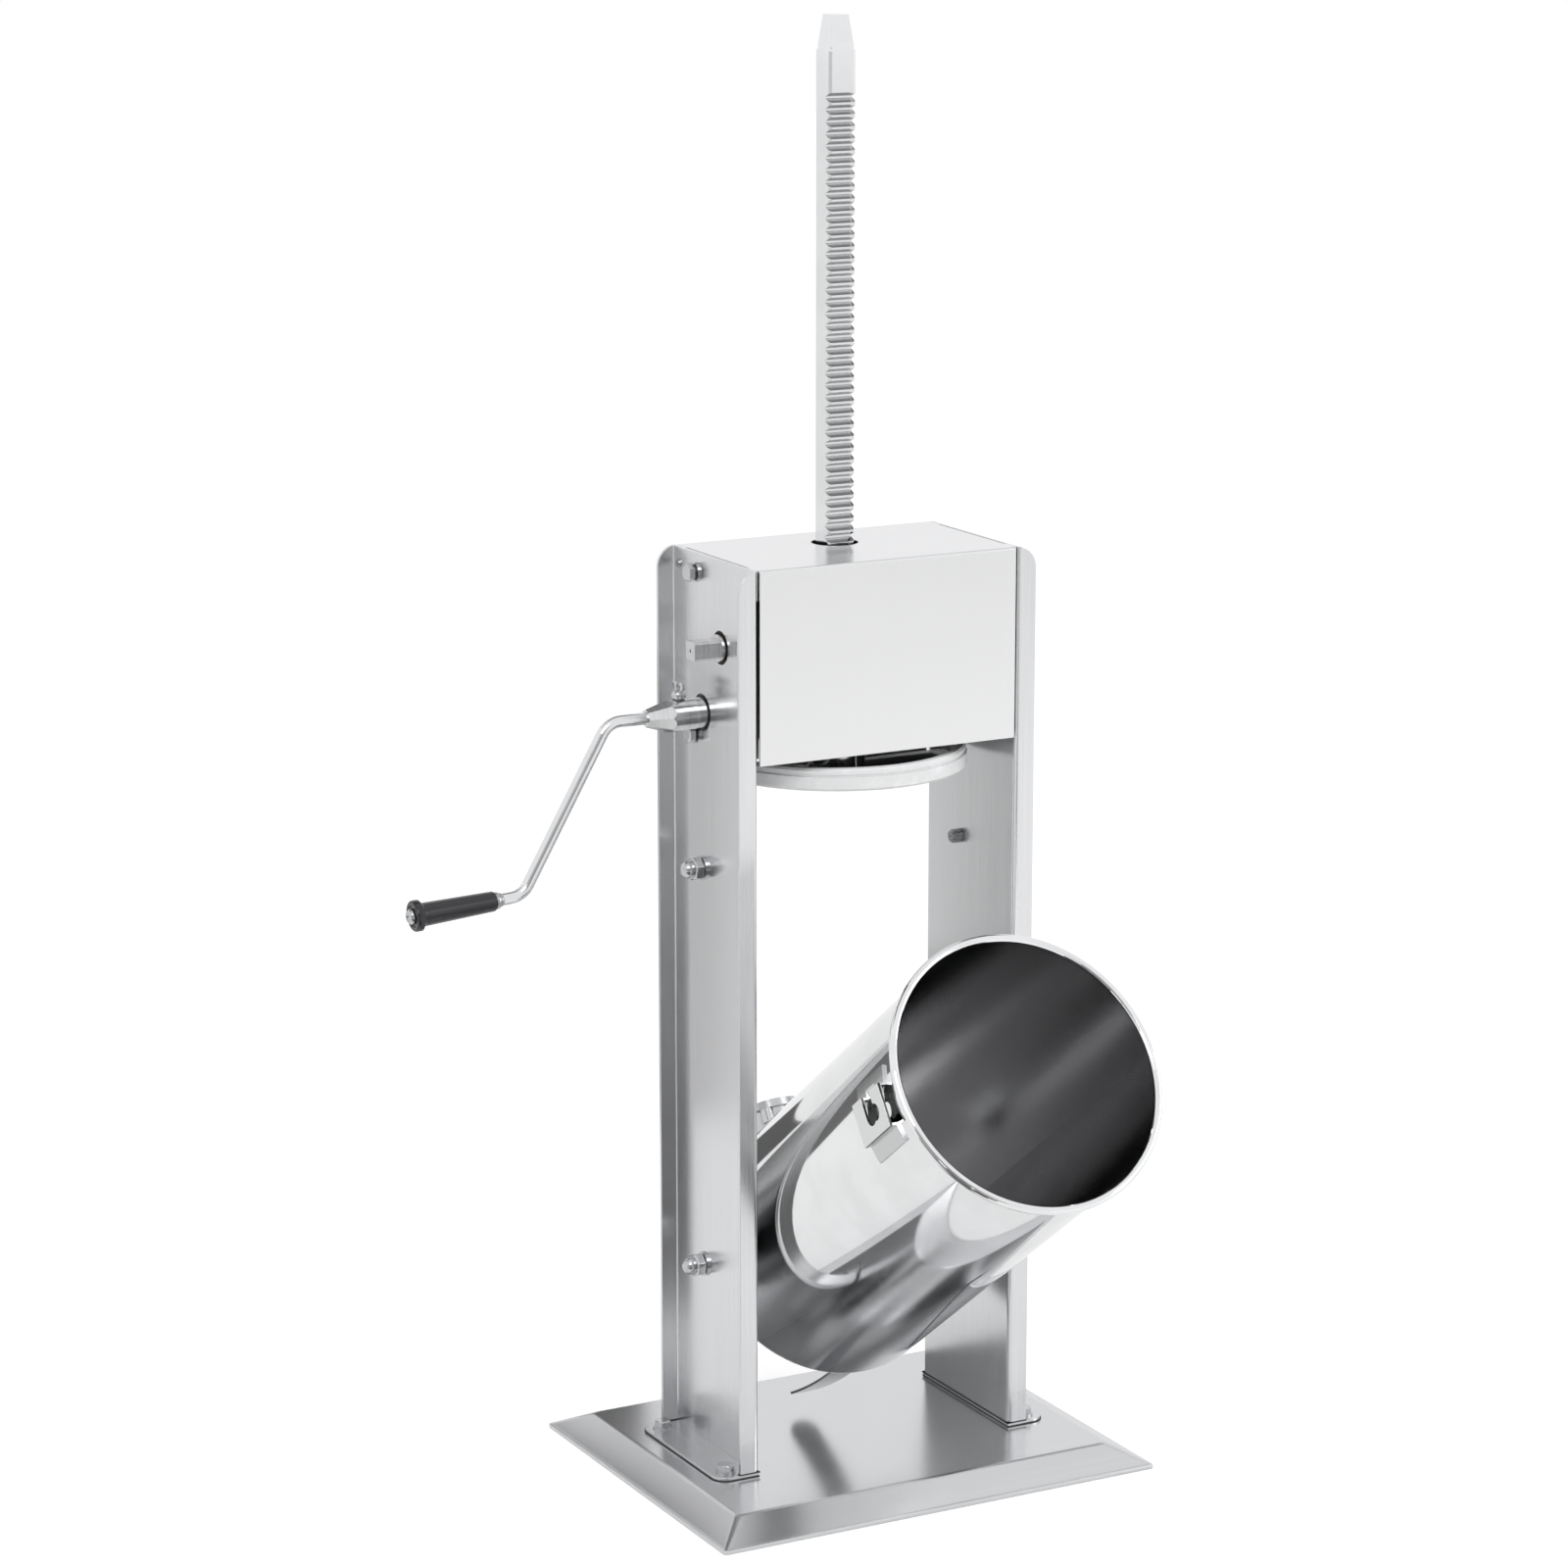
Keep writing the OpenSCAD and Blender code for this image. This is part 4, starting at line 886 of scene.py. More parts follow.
    @classmethod
    def stand(cls, piece: bpy.types.Object, at: Vector, along: Vector, turn: float = 0.0) -> None:
        """Lays a piece that was made round +Z along another direction, and fixes its place in its mesh.

        Args:
            piece: the piece.
            at: where its origin goes.
            along: where its +Z points.
            turn: a turn about its own axis first, in degrees.
        """
        cls.pick(piece)
        lay = along.to_track_quat("Z", "Y").to_matrix().to_4x4()
        piece.matrix_world = Matrix.Translation(at) @ lay @ Matrix.Rotation(math.radians(turn), 4, "Z")
        cls.settle()

    @classmethod
    def rounded(cls, piece: bpy.types.Object, width: float, segments: int = 2, limit: float = 35.0) -> None:
        """Rounds a piece's sharp edges with an applied bevel, and smooths it.

        Args:
            piece: the piece.
            width: the bevel's width, in metres.
            segments: how many steps it has.
            limit: the least angle of an edge that is rounded, in degrees.
        """
        cls.pick(piece)
        bevel = piece.modifiers.new("edges", "BEVEL")
        bevel.width = width
        bevel.segments = segments
        bevel.angle_limit = math.radians(limit)
        bpy.ops.object.modifier_apply(modifier=bevel.name)
        bpy.ops.object.shade_smooth_by_angle(angle=math.radians(limit))

    @classmethod
    def joined(cls, name: str, pieces: Sequence[bpy.types.Object]) -> bpy.types.Object:
        """Joins two or more pieces into one.

        Args:
            name: the joined piece's name.
            pieces: what is joined.

        Returns:
            The joined piece.
        """
        cls.clear_selection()
        for piece in pieces:
            piece.select_set(True)
        bpy.context.view_layer.objects.active = pieces[0]
        bpy.ops.object.join()
        pieces[0].name = name
        return pieces[0]

    @staticmethod
    def copies(pattern: bpy.types.Object, names: Sequence[str]) -> list[bpy.types.Object]:
        """Copies a piece, each copy with its own mesh, and clears the pattern away.

        Args:
            pattern: the piece that repeats.
            names: the copies' names.

        Returns:
            The copies.
        """
        made = []
        for name in names:
            copy = pattern.copy()
            copy.data = pattern.data.copy()
            copy.name = name
            bpy.context.scene.collection.objects.link(copy)
            made.append(copy)
        bpy.data.objects.remove(pattern)
        return made

    @staticmethod
    def hand_over(piece: bpy.types.Object, body: str, slot: str, finish: Finish, *replaced: str) -> None:
        """Dresses a finished piece and puts it on its body.

        Args:
            piece: the piece.
            body: the body that carries it.
            slot: the material slot that its finish comes from; not used.
            finish: its finish.
            replaced: nodes that it stands for.
        """
        put_on(piece, finish)
        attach(piece, body)
        if replaced:
            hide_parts(*replaced)
        LOG.info("%s rides on %s with %d faces", piece.name, body, len(piece.data.polygons))


@dataclass
class Joint:
    """A joint's place and direction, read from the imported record."""

    place: Vector
    axis: Vector

    @classmethod
    def named(cls, frame: dict[str, Any], name: str) -> "Joint":
        """Finds a joint.

        Args:
            frame: the loaded frame.
            name: the joint's name.

        Returns:
            The joint.
        """
        found = next(joint for joint in frame["joints"] if joint["name"] == name)
        return cls(Vector(found.get("pos_m", (0, 0, 0))), Vector(found["axis"]).normalized())


@dataclass
class ContactShadows:
    """Painted contact shadow: thin dark lines where sheet meets sheet, under the foot plates and along the
    columns' feet.
    """

    line: float = 0.7 * MM
    sheet: float = 3.0 * MM
    corner: float = 13.0 * MM

    def strip(self, ends: tuple[float, float, float, float], foot: float) -> bpy.types.Object:
        """One straight painted shadow line on a flat sheet.

        Args:
            ends: its lowest X and Y, and its highest X and Y.
            foot: the height that it lies at.

        Returns:
            The line.
        """
        left, front, right, back = ends
        size = Vector((right - left, back - front, self.line))
        middle = Vector(((left + right) / 2, (front + back) / 2, foot + self.line / 2))
        return Bench.slab("contact_shadow_strip", size, middle)

    def plate(self, node: str, side: int) -> list[bpy.types.Object]:
        """The painted shadow line round a foot plate, as a thin dark layer that looks out under it.

        Args:
            node: the foot plate.
            side: -1 for the left side of the machine and 1 for the right.

        Returns:
            The pieces of the layer.
        """
        low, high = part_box(node)
        inner, outer = (low.x, high.x) if side > 0 else (high.x, low.x)
        pieces = []
        for y in (low.y + self.corner, high.y - self.corner):
            middle = Vector((outer - side * self.corner, y, low.z + self.line / 2))
            pieces.append(Bench.disc("contact_shadow_strip", self.corner + self.line, self.line, middle))
        for reach, inset in ((self.line, self.corner), (-self.corner, -self.line)):
            edge = outer + side * reach
            ends = (min(inner, edge), low.y + inset, max(inner, edge), high.y - inset)
            pieces.append(self.strip(ends, low.z))
        return pieces

    def column(self, node: str, side: int) -> list[bpy.types.Object]:
        """The painted shadow lines along the foot of a column: at both flanges, and on the right at the web
        too.

        Args:
            node: the column.
            side: -1 for the left side of the machine and 1 for the right.

        Returns:
            The lines.
        """
        low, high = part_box(node)
        pieces = []
        if side > 0:
            ends = (low.x - self.line, low.y - self.line, low.x + self.sheet, high.y + self.line)
            pieces.append(self.strip(ends, low.z))
        for y in (low.y, high.y - self.sheet):
            ends = (low.x - self.line, y - self.line, high.x + self.line, y + self.sheet + self.line)
            pieces.append(self.strip(ends, low.z))
        return pieces

    def build(self) -> None:
        """Builds every painted shadow line as one piece of the frame."""
        pieces = []
        for side, name in ((-1, "left"), (1, "right")):
            pieces += self.plate(f"foot_plate_{name}", side)
            pieces += self.column(f"column_{name}", side)
        Bench.hand_over(Bench.joined("contact_shadow_lines", pieces), "frame", "brushed_stainless", CONTACT_SHADOW_PAINT)


@dataclass
class Stand:
    """The cap nuts on the columns, and the latch studs between them."""

    nut_across: float = 17.0 * MM
    nut_height: float = 8.0 * MM
    nut_foot_chamfer: float = 0.6 * MM
    nut_top_chamfer: float = 0.9 * MM
    nut_face_share: float = 0.97
    nut_edge: float = 0.35 * MM
    nut_turn: float = 11.0
    dome_height: float = 9.5 * MM
    dome_share: float = 0.44
    dome_root: float = 0.5 * MM
    dome_root_share: float = 0.98
    dome_edge: float = 0.2 * MM
    dome_edge_angle: float = 50.0
    dome_sides: int = 32
    dome_steps: int = 7
    dome_crown: float = 0.6
    stud_radius: float = 6.0 * MM
    shank_radius: float = 5.0 * MM
    stud_sides: int = 40
    reach: float = 7.3 * MM
    plain: float = 0.7 * MM
    thread_pitch: float = 1.25 * MM
    thread_depth: float = 0.55 * MM
    last_crest: float = 1.5
    tip_chamfer: float = 0.9 * MM
    tip_share: float = 0.76
    centre_depth: float = 0.8 * MM
    centre_shares: Span = (0.3, 0.08)

    def cap_nut(self) -> bpy.types.Object:
        """The domed cap nut, standing on the origin.

        Returns:
            The nut, to be copied.
        """
        corner = self.nut_across / math.cos(math.pi / 6) / 2
        face = self.nut_across / 2 * self.nut_face_share
        outline = [(0.0, face), (self.nut_foot_chamfer, corner),
                   (self.nut_height - self.nut_top_chamfer, corner), (self.nut_height, face)]
        hexagon = Bench.turned("cap_nut", outline, sides=6)
        Bench.rounded(hexagon, self.nut_edge)
        radius = self.nut_across * self.dome_share
        straight = self.nut_height + self.dome_height - radius
        dome = [(self.nut_height - self.dome_root, radius * self.dome_root_share), (straight, radius)]
        for step in range(1, self.dome_steps + 1):
            angle = math.pi / 2 * step / (self.dome_steps + self.dome_crown)
            dome.append((straight + radius * math.sin(angle), radius * math.cos(angle)))
        top = Bench.turned("cap_nut_dome", dome, self.dome_sides)
        Bench.rounded(top, self.dome_edge, limit=self.dome_edge_angle)
        return Bench.joined("cap_nut", [hexagon, top])

    def cap_nuts(self) -> None:
        """The four cap nuts on the studs' outer ends."""
        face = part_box("stud_washers")[1].x
        places = [(node, side) for node in ("latch_studs", "pivot_studs") for side in (-1, 1)]
        nuts = Bench.copies(self.cap_nut(), [f"cap_nut_{node}_{side}" for node, side in places])
        for nut, (node, side) in zip(nuts, places):
            low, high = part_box(node)
            middle = (low + high) / 2
            at = Vector((side * face, middle.y, middle.z))
            Bench.stand(nut, at, side * Way.X.vector, self.nut_turn * side)
        Bench.hand_over(Bench.joined("cap_nut_set", nuts), "frame", "fasteners", BOLT_STEEL, "cap_nuts")

    def threaded_stud(self, shank: float) -> bpy.types.Object:
        """A latch stud: its shank through the column, and thread crests up to its free end.

        Args:
            shank: the length of the shank, outwards from the column's inner face.

        Returns:
            The stud, along +Z from the column's inner face, to be copied.
        """
        root = self.stud_radius - self.thread_depth
        profile = [(-shank, self.shank_radius), (0.0, self.shank_radius), (0.0, self.stud_radius),
                   (self.plain, self.stud_radius)]
        height = self.plain
        while height < self.reach - self.last_crest * self.thread_pitch:
            profile.append((height + self.thread_pitch / 2, root))
            profile.append((height + self.thread_pitch, self.stud_radius))
            height += self.thread_pitch
        rim, centre = self.centre_shares
        profile += [(self.reach - self.tip_chamfer, root), (self.reach, self.stud_radius * self.tip_share),
                    (self.reach, self.stud_radius * rim),
                    (self.reach - self.centre_depth, self.stud_radius * centre)]
        return Bench.turned("latch_thread", profile, self.stud_sides)

    def studs(self) -> None:
        """The latch studs between the columns, with their threads."""
        low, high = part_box("latch_studs")
        middle = (low + high) / 2
        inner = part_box("column_right")[0].x
        sides = (-1, 1)
        studs = Bench.copies(self.threaded_stud(high.x - inner), [f"latch_thread_{side}" for side in sides])
        for stud, side in zip(studs, sides):
            Bench.stand(stud, Vector((side * inner, middle.y, middle.z)), -side * Way.X.vector)
        threads = Bench.joined("latch_thread_set", studs)
        Bench.hand_over(threads, "frame", "fasteners", STUD_STEEL, "latch_studs")

    def build(self) -> None:
        """Builds all that the stand gets in this script."""
        self.cap_nuts()
        self.studs()


@dataclass
class Grip:
    """The crank's black grip, with its ferrule and its end screw."""

    frame: dict[str, Any]
    length: float = 70.0 * MM
    inner_radius: float = 8.0 * MM
    outer_radius: float = 9.5 * MM
    flange_radius: float = 12.5 * MM
    flange_length: float = 9.0 * MM
    flange_rise: float = 3.0 * MM
    flange_steps: int = 5
    bore: float = 4.05 * MM
    mouth: float = 0.9 * MM
    foot_chamfer: float = 0.8 * MM
    foot_share: float = 0.88
    taper_share: float = 0.985
    end_steps: Steps = ((2.2, 1.0), (0.9, 0.975), (0.0, 0.9), (0.1, 0.72), (1.6, 0.66))
    recess: float = 1.8 * MM
    sides: int = 64
    edge: float = 0.25 * MM
    ferrule: float = 6.3 * MM
    ferrule_mouth: float = 0.2 * MM
    ferrule_lip: float = 0.1 * MM
    ferrule_steps: Steps = ((0.0, 0.66), (1.6, 0.72), (1.9, 0.64), (2.5, 0.64), (2.8, 0.82), (4.9, 0.88),
                            (5.2, 0.8), (5.7, 0.8), (6.0, 0.9))
    ferrule_end_share: float = 0.88
    gap: float = 0.3 * MM
    pin_radius: float = 4.0 * MM
    head_radius: float = 6.2 * MM
    head_height: float = 4.4 * MM
    head_foot: float = 1.6 * MM
    head_chamfer: float = 0.4 * MM
    head_foot_share: float = 0.97
    head_side: float = 0.6 * MM
    head_steps: int = 5
    head_crown: float = 0.6
    slot: Vector = field(default_factory=lambda: Vector((6.4, 1.3, 3.4)) * MM)
    slot_turn: float = 31.0
    metal_edge: float = 0.12 * MM
    edge_angle: float = 40.0

    def start(self) -> tuple[Vector, Vector]:
        """Finds the grip's place.

        Returns:
            Where the rod ends and the grip's ferrule starts, and the direction in which the grip runs.
        """
        joint = Joint.named(self.frame, "grip_spin")
        low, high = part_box("crank_grip")
        middle = (low + high) / 2
        along = (middle - joint.place).dot(joint.axis)
        return joint.place + joint.axis * (along - self.length / 2 - self.ferrule - self.gap), joint.axis

    def sleeve(self) -> None:
        """The black grip: a slight taper, a round flange and a recess round the end screw."""
        begin, axis = self.start()
        taper = self.length - self.flange_length
        profile = [(self.mouth, self.bore), (0.0, self.inner_radius * self.foot_share),
                   (self.foot_chamfer, self.inner_radius), (taper, self.outer_radius * self.taper_share)]
        swell = self.flange_radius - self.outer_radius
        for step in range(1, self.flange_steps + 1):
            angle = math.pi / 2 * step / self.flange_steps
            rise = self.flange_rise * math.sin(angle)
            profile.append((taper + rise, self.outer_radius + swell * (1 - math.cos(angle))))
        for depth, share in self.end_steps:
            profile.append((self.length - depth * MM, self.flange_radius * share))
        profile.append((self.length - self.recess, self.bore))
        grip = Bench.turned("grip_sleeve", profile, self.sides)
        Bench.stand(grip, begin + axis * (self.ferrule + self.gap), axis)
        Bench.rounded(grip, self.edge, limit=self.edge_angle)
        Bench.hand_over(grip, "grip", "grip_plastic", GRIP_PLASTIC, "crank_grip")

    def end_screw(self) -> None:
        """The screw through the grip, with a low round head and a cross slot."""
        begin, axis = self.start()
        seat = self.ferrule + self.length + 2 * self.gap
        foot = seat - self.head_foot
        side = seat + self.head_side
        profile = [(0.0, self.pin_radius), (foot, self.pin_radius),
                   (foot, self.head_radius * self.head_foot_share),
                   (foot + self.head_chamfer, self.head_radius), (side, self.head_radius)]
        for step in range(1, self.head_steps + 1):
            angle = math.pi / 2 * step / (self.head_steps + self.head_crown)
            rise = (self.head_height - self.head_side) * math.sin(angle)
            profile.append((side + rise, self.head_radius * math.cos(angle)))
        screw = Bench.turned("grip_end_screw", profile)
        top = Vector((0.0, 0.0, seat + self.head_height))
        for number, size in enumerate((self.slot, self.slot.yxz)):
            Bench.carved(screw, Bench.slab(f"cross_{number}", size, top))
        Bench.stand(screw, begin, axis, self.slot_turn)
        Bench.rounded(screw, self.metal_edge, limit=self.edge_angle)
        Bench.hand_over(screw, "crank", "fasteners", BOLT_STEEL, "grip_screw")

    def ferrule_ring(self) -> None:
        """The stepped ring between the rod and the grip."""
        begin, axis = self.start()
        profile = [(self.ferrule_mouth, self.pin_radius)]
        profile += [(height * MM, self.inner_radius * share) for height, share in self.ferrule_steps]
        profile += [(self.ferrule, self.inner_radius * self.ferrule_end_share),
                    (self.ferrule - self.ferrule_lip, self.pin_radius)]
        ring = Bench.turned("ferrule_ring", profile)
        Bench.stand(ring, begin, axis)
        Bench.rounded(ring, self.metal_edge, limit=self.edge_angle)
        Bench.hand_over(ring, "crank", "fasteners", BOLT_STEEL, "grip_ferrule")

    def build(self) -> None:
        """Builds the grip, its screw and its ferrule."""
        self.sleeve()
        self.end_screw()
        self.ferrule_ring()


@dataclass
class WingScrew:
    """The wing screw that holds the crank on its shaft."""

    radius: float = 3.12 * MM
    sides: int = 36
    point: float = 0.5 * MM
    point_share: float = 0.8
    collar: float = 6.0 * MM
    collar_steps: Steps = ((0.0, 1.7), (0.5, 1.85), (3.6, 1.8), (5.4, 1.5), (6.2, 0.9))
    edge: float = 0.3 * MM
    edge_angle: float = 40.0
    wing_thick: float = 2.3 * MM
    wing_radius: float = 4.6 * MM
    wing_sides: int = 28
    wing_lean: float = 27.0
    wing_waist: float = 0.5
    wing_shares: tuple[float, float, float] = (1.0, 0.9, 1.35)
    wing_lift: float = 1.12
    wing_root: float = 3.4 * MM
    wing_spread: float = 1.9 * MM
    wing_edge: float = 0.7 * MM

    def wing(self) -> bpy.types.Object:
        """A pressed wing, upright over the origin.

        Returns:
            The wing, to be copied.
        """
        Bench.clear_selection()
        flat = (0.0, math.pi / 2, 0.0)
        bpy.ops.mesh.primitive_cylinder_add(vertices=self.wing_sides, radius=self.wing_radius,
                                            depth=self.wing_thick, rotation=flat)
        wing = Bench.started("wing")
        Bench.select_faces(wing, lambda face: abs(face.normal.x) < 0.5 and face.center.z < 0.0)
        bpy.ops.transform.resize(value=(1.0, self.wing_waist, 1.0), center_override=(0.0, 0.0, 0.0))
        Bench.pick(wing)
        wing.scale = self.wing_shares
        wing.location = (0.0, 0.0, self.wing_radius * self.wing_lift)
        Bench.settle()
        Bench.rounded(wing, self.wing_edge, segments=3)
        return wing

    def wings(self, root: Vector) -> list[bpy.types.Object]:
        """Both wings, leaning outwards.

        Args:
            root: the middle of their roots.

        Returns:
            The front wing and the back one.
        """
        sides = (-1, 1)
        made = Bench.copies(self.wing(), [f"wing_{side}" for side in sides])
        for wing, side in zip(made, sides):
            Bench.pick(wing)
            wing.rotation_euler = (math.radians(-side * self.wing_lean), 0.0, 0.0)
            wing.location = root + Vector((0.0, side * self.wing_spread, 0.0))
            Bench.settle()
        return made

    def build(self) -> None:
        """Builds the screw's thread with its collar, and its two rounded wings."""
        low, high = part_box("wing_screw")
        foot = Vector(((low.x + high.x) / 2, (low.y + high.y) / 2, low.z))
        profile = [(0.0, self.radius * self.point_share), (self.point, self.radius),
                   (self.collar, self.radius)]
        profile += [(self.collar + height * MM, self.radius * share) for height, share in self.collar_steps]
        body = Bench.turned("wing_body", profile, self.sides)
        Bench.stand(body, foot, Way.Z.vector)
        Bench.rounded(body, self.edge, limit=self.edge_angle)
        root = foot + Vector((0.0, 0.0, self.collar + self.wing_root))
        screw = Bench.joined("wing_screw_piece", [body, *self.wings(root)])
        Bench.hand_over(screw, "wing_screw", "fasteners", BOLT_STEEL, "wing_screw")


@dataclass
class Barrel:
    """The finish of the barrel, which depends on its slanted axis, and of its hooks."""

    frame: dict[str, Any]

    def shell(self) -> None:
        """Dresses the shell and its bottom, darkened inside as painted shade and bright outside."""
        pivot = Joint.named(self.frame, "barrel_tilt")
        nut = Joint.named(self.frame, "ring_nut_turn")
        along = pivot.axis.cross(nut.axis).normalized()
        steel = BarrelSteel("barrel_steel", BRIGHT_COLOUR, through=pivot.place, along=along)
        for node in ("barrel_shell", "barrel_bottom"):
            put_on(self.frame["nodes"][node], steel)
        LOG.info("barrel axis is %s", tuple(round(part, 3) for part in along))

    def hooks(self) -> None:
        """Dresses the four hooks, light on their outer faces and with painted shade at their edges."""
        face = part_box("latch_hooks")[1].x
        steel = HookSteel("hook_steel", HOOK_COLOUR, roughness=0.2, edge=0.15 * MM, outer_face=face)
        for node in ("latch_hooks", "pivot_hooks"):
            put_on(self.frame["nodes"][node], steel)

    def build(self) -> None:
        """Dresses all that the barrel has a finish of its own for."""
        self.shell()
        self.hooks()


@dataclass
class Press:
    """The finish of the rack, with painted shade in the gaps between its teeth."""

    frame: dict[str, Any]
    plain_head: float = 45.0 * MM

    def build(self) -> None:
        """Dresses the rack, up to the plain head above its last tooth."""
        low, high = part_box("rack_bar")
        mesh = Joint.named(self.frame, "upper_shaft_turn").place.z
        steel = RackSteel("rack_steel", RACK_COLOUR, roughness=0.13, edge=0.25 * MM, front=low.y,
                          half_width=high.x, last_tooth=high.z - self.plain_head, mesh_height=mesh)
        put_on(self.frame["nodes"]["rack_bar"], steel)


@dataclass(frozen=True)
class Flag:
    """A card that only the metal's reflections see."""

    name: str
    place: Point
    facing: Point
    width: float
    height: float
    level: float

    def build(self) -> None:
        """Sets the card up, evenly bright at its level from 0 to 1."""
        Bench.clear_selection()
        bpy.ops.mesh.primitive_plane_add(size=1.0)
        card = bpy.context.object
        card.name = self.name
        card.scale = (self.width, self.height, 1.0)
        card.location = self.place
        card.rotation_euler = Vector(self.facing).to_track_quat("Z", "Y").to_euler()
        material = bpy.data.materials.new(self.name)
        material.use_nodes = True
        graph = Graph(material.node_tree)
        glow = graph.node("ShaderNodeEmission", inputs={"Color": (self.level,) * 3, "Strength": 1.0})
        graph.node("ShaderNodeOutputMaterial", inputs={"Surface": glow})
        card.data.materials.append(material)
        card.visible_camera = False
        card.visible_diffuse = False
        card.visible_shadow = False
        card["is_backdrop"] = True


@dataclass(frozen=True)
class Lamp:
    """A square soft lamp."""

    name: str
    place: Point
    size: float
    power: float

    def build(self, aim: Point) -> None:
        """Hangs the lamp.

        Args:
            aim: the point that it shines at.
        """
        data = bpy.data.lights.new(self.name, "AREA")
        data.size = self.size
        data.energy = self.power
        lamp = bpy.data.objects.new(self.name, data)
        bpy.context.scene.collection.objects.link(lamp)
        lamp.location = self.place
        lamp.rotation_euler = (Vector(aim) - Vector(self.place)).to_track_quat("-Z", "Y").to_euler()


FRONTWARDS = (0.0, -1.0, 0.0)
UPWARDS = (0.0, 0.0, 1.0)
FLAGS = (
    Flag("rear_flag", place=(-0.335, 0.62, 0.33), facing=FRONTWARDS, width=0.17, height=0.46, level=0.16),
    Flag("left_flag", place=(-2.4, -2.6, 0.7), facing=(2.4, 2.6, 0.0), width=2.2, height=1.4, level=0.36),
    Flag("side_flag", place=(-0.06, 0.42, 0.18), facing=FRONTWARDS, width=0.16, height=0.2, level=0.12),
    Flag("near_flag", place=(-0.42, -0.62, 0.004), facing=UPWARDS, width=0.44, height=0.8, level=0.15),
    Flag("front_flag", place=(-0.95, -1.65, 0.004), facing=UPWARDS, width=0.9, height=2.7, level=0.2),
)
LAMPS = (
    Lamp("key_lamp", place=(-2.2, -2.6, 3.2), size=1.6, power=28.0),
    Lamp("fill_lamp", place=(2.8, -2.0, 1.6), size=1.8, power=18.0),
)


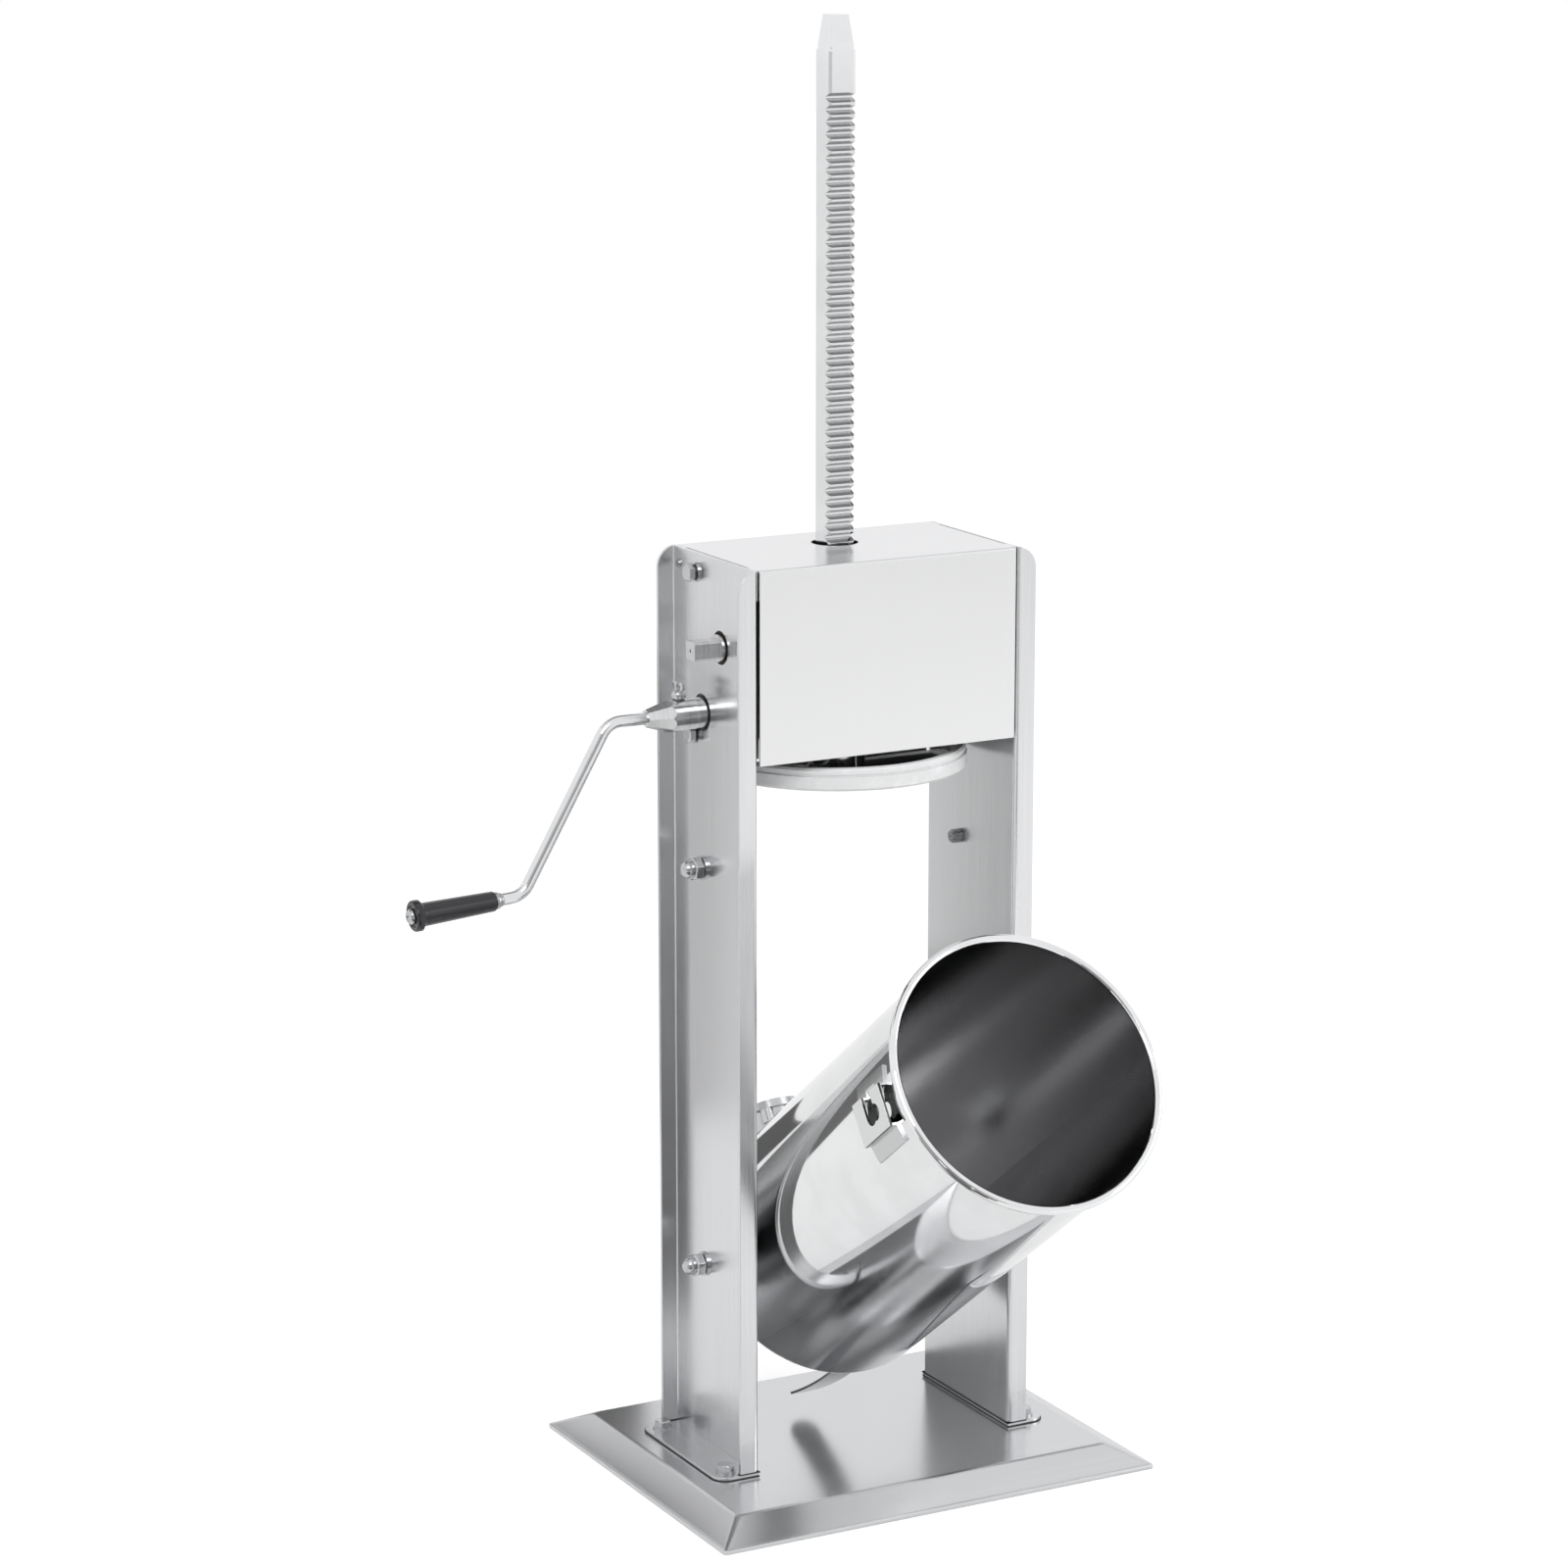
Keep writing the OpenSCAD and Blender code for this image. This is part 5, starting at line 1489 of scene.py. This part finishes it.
@dataclass
class Studio:
    """The camera, the white surroundings, the cards and the lamps."""

    camera_place: Point = (-1.7769, -3.2020, 1.3988)
    camera_tilt: float = 77.19
    camera_turn: float = -28.2
    lens: float = 107.0
    sensor: float = 36.0
    far: float = 100.0
    floor_half: float = 12.0
    floor_white: float = 0.9
    floor_seen: float = 0.35
    floor_mirrored: float = 0.16
    wall: float = 0.97
    wall_coolness: float = 1.01
    ceiling_dark: float = 0.88
    ceiling_rise: Span = (0.66, 0.75)
    ceiling_back: Span = (-0.4, -0.26)
    camera_dark: float = 0.62
    camera_way: Point = (-0.486, -0.874, 0.0)
    camera_cone: Span = (0.72, 0.97)
    soft_light: float = 0.8
    middle: Point = (0.0, 0.0, 0.5)

    def camera(self) -> None:
        """The camera at the photograph's place."""
        data = bpy.data.cameras.new("camera")
        data.lens = self.lens
        data.sensor_width = self.sensor
        data.clip_end = self.far
        camera = bpy.data.objects.new("camera", data)
        bpy.context.scene.collection.objects.link(camera)
        camera.location = self.camera_place
        camera.rotation_euler = Euler((math.radians(self.camera_tilt), 0.0, math.radians(self.camera_turn)))
        bpy.context.scene.camera = camera

    def floor(self) -> None:
        """A white floor that keeps the shadow and meets the white surroundings without an edge."""
        Bench.clear_selection()
        bpy.ops.mesh.primitive_plane_add(size=2 * self.floor_half)
        floor = bpy.context.object
        floor.name = "floor"
        material = bpy.data.materials.new("white_floor")
        material.use_nodes = True
        graph = Graph(material.node_tree)
        lit = graph.node("ShaderNodeBsdfDiffuse", inputs={"Color": (self.floor_white,) * 3})
        white = graph.node("ShaderNodeEmission", inputs={"Color": WHITE, "Strength": self.floor_seen})
        dimmer = graph.node("ShaderNodeEmission", inputs={"Color": WHITE, "Strength": self.floor_mirrored})
        seen = graph.node("ShaderNodeAddShader", inputs={0: lit, 1: white})
        mirrored = graph.node("ShaderNodeAddShader", inputs={0: lit, 1: dimmer})
        camera = graph.node("ShaderNodeLightPath", output="Is Camera Ray")
        glossy = graph.node("ShaderNodeLightPath", output="Is Glossy Ray")
        bounced = graph.node("ShaderNodeMixShader", inputs={0: glossy, 1: lit, 2: mirrored})
        shown = graph.node("ShaderNodeMixShader", inputs={0: camera, 1: bounced, 2: seen})
        graph.node("ShaderNodeOutputMaterial", inputs={"Surface": shown})
        floor.data.materials.append(material)
        floor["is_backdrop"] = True

    def room(self, graph: Graph) -> Value:
        """What the metal shows: bright walls, darker behind the camera and on the rear ceiling.

        Args:
            graph: the world's tree.

        Returns:
            The room's light.
        """
        way = graph.node("ShaderNodeTexCoord", output="Generated")
        front = graph.dot(way, Vector(FRONTWARDS))
        up = graph.dot(way, Way.Z.vector)
        behind_camera = graph.dot(way, Vector(self.camera_way))
        ceiling = up.ramp(*self.ceiling_rise) * front.ramp(*self.ceiling_back, 1.0, 0.0)
        shade = 1 - behind_camera.ramp(*self.camera_cone) * self.camera_dark
        level = self.wall * (1 - ceiling * self.ceiling_dark) * shade
        channels = {0: level, 1: level, 2: level * self.wall_coolness}
        glow = graph.node("ShaderNodeCombineColor", inputs=channels)
        return graph.node("ShaderNodeBackground", inputs={"Color": glow, "Strength": 1.0})

    def surroundings(self) -> None:
        """White for the camera, and a studio room for the metal to show."""
        world = bpy.data.worlds.new("studio")
        bpy.context.scene.world = world
        world.use_nodes = True
        graph = Graph(world.node_tree)
        room = self.room(graph)
        soft = graph.node("ShaderNodeBackground", inputs={"Color": (self.soft_light,) * 3, "Strength": 1.0})
        white = graph.node("ShaderNodeBackground", inputs={"Color": WHITE, "Strength": 1.0})
        glossy = graph.node("ShaderNodeLightPath", output="Is Glossy Ray")
        camera = graph.node("ShaderNodeLightPath", output="Is Camera Ray")
        lighting = graph.node("ShaderNodeMixShader", inputs={0: glossy, 1: soft, 2: room})
        shown = graph.node("ShaderNodeMixShader", inputs={0: camera, 1: lighting, 2: white})
        graph.node("ShaderNodeOutputWorld", inputs={"Surface": shown})

    def build(self) -> None:
        """Sets the camera, the floor, the surroundings, the cards and the lamps."""
        self.camera()
        self.floor()
        self.surroundings()
        for flag in FLAGS:
            flag.build()
        for lamp in LAMPS:
            lamp.build(self.middle)
        bpy.context.scene.view_settings.view_transform = "Standard"


def dress_nodes(frame: dict[str, Any]) -> None:
    """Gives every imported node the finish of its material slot, or its own.

    Args:
        frame: the loaded frame.
    """
    slots = {row["node"]: row["material_slot"] for row in frame["record"]["subparts"]}
    for name, node in frame["nodes"].items():
        put_on(node, BY_NODE.get(name, BY_SLOT[slots[name]]))
        LOG.info("%s is dressed", name)


def corners() -> Iterator[list[float]]:
    """The lowest and the highest corner of all that is shown, as plain lists."""
    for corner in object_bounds():
        yield [round(part, 6) for part in corner]


def main() -> None:
    """Loads the frame, dresses it, adds the new pieces and sets the studio."""
    logging.basicConfig(level=logging.INFO, format="%(message)s")
    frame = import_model()
    packed_box = list(corners())
    dress_nodes(frame)
    ContactShadows().build()
    Stand().build()
    Grip(frame).build()
    WingScrew().build()
    Barrel(frame).build()
    Press(frame).build()
    Studio().build()
    {"packed": packed_box, "shown": list(corners())}


if __name__ == "__main__":
    main()
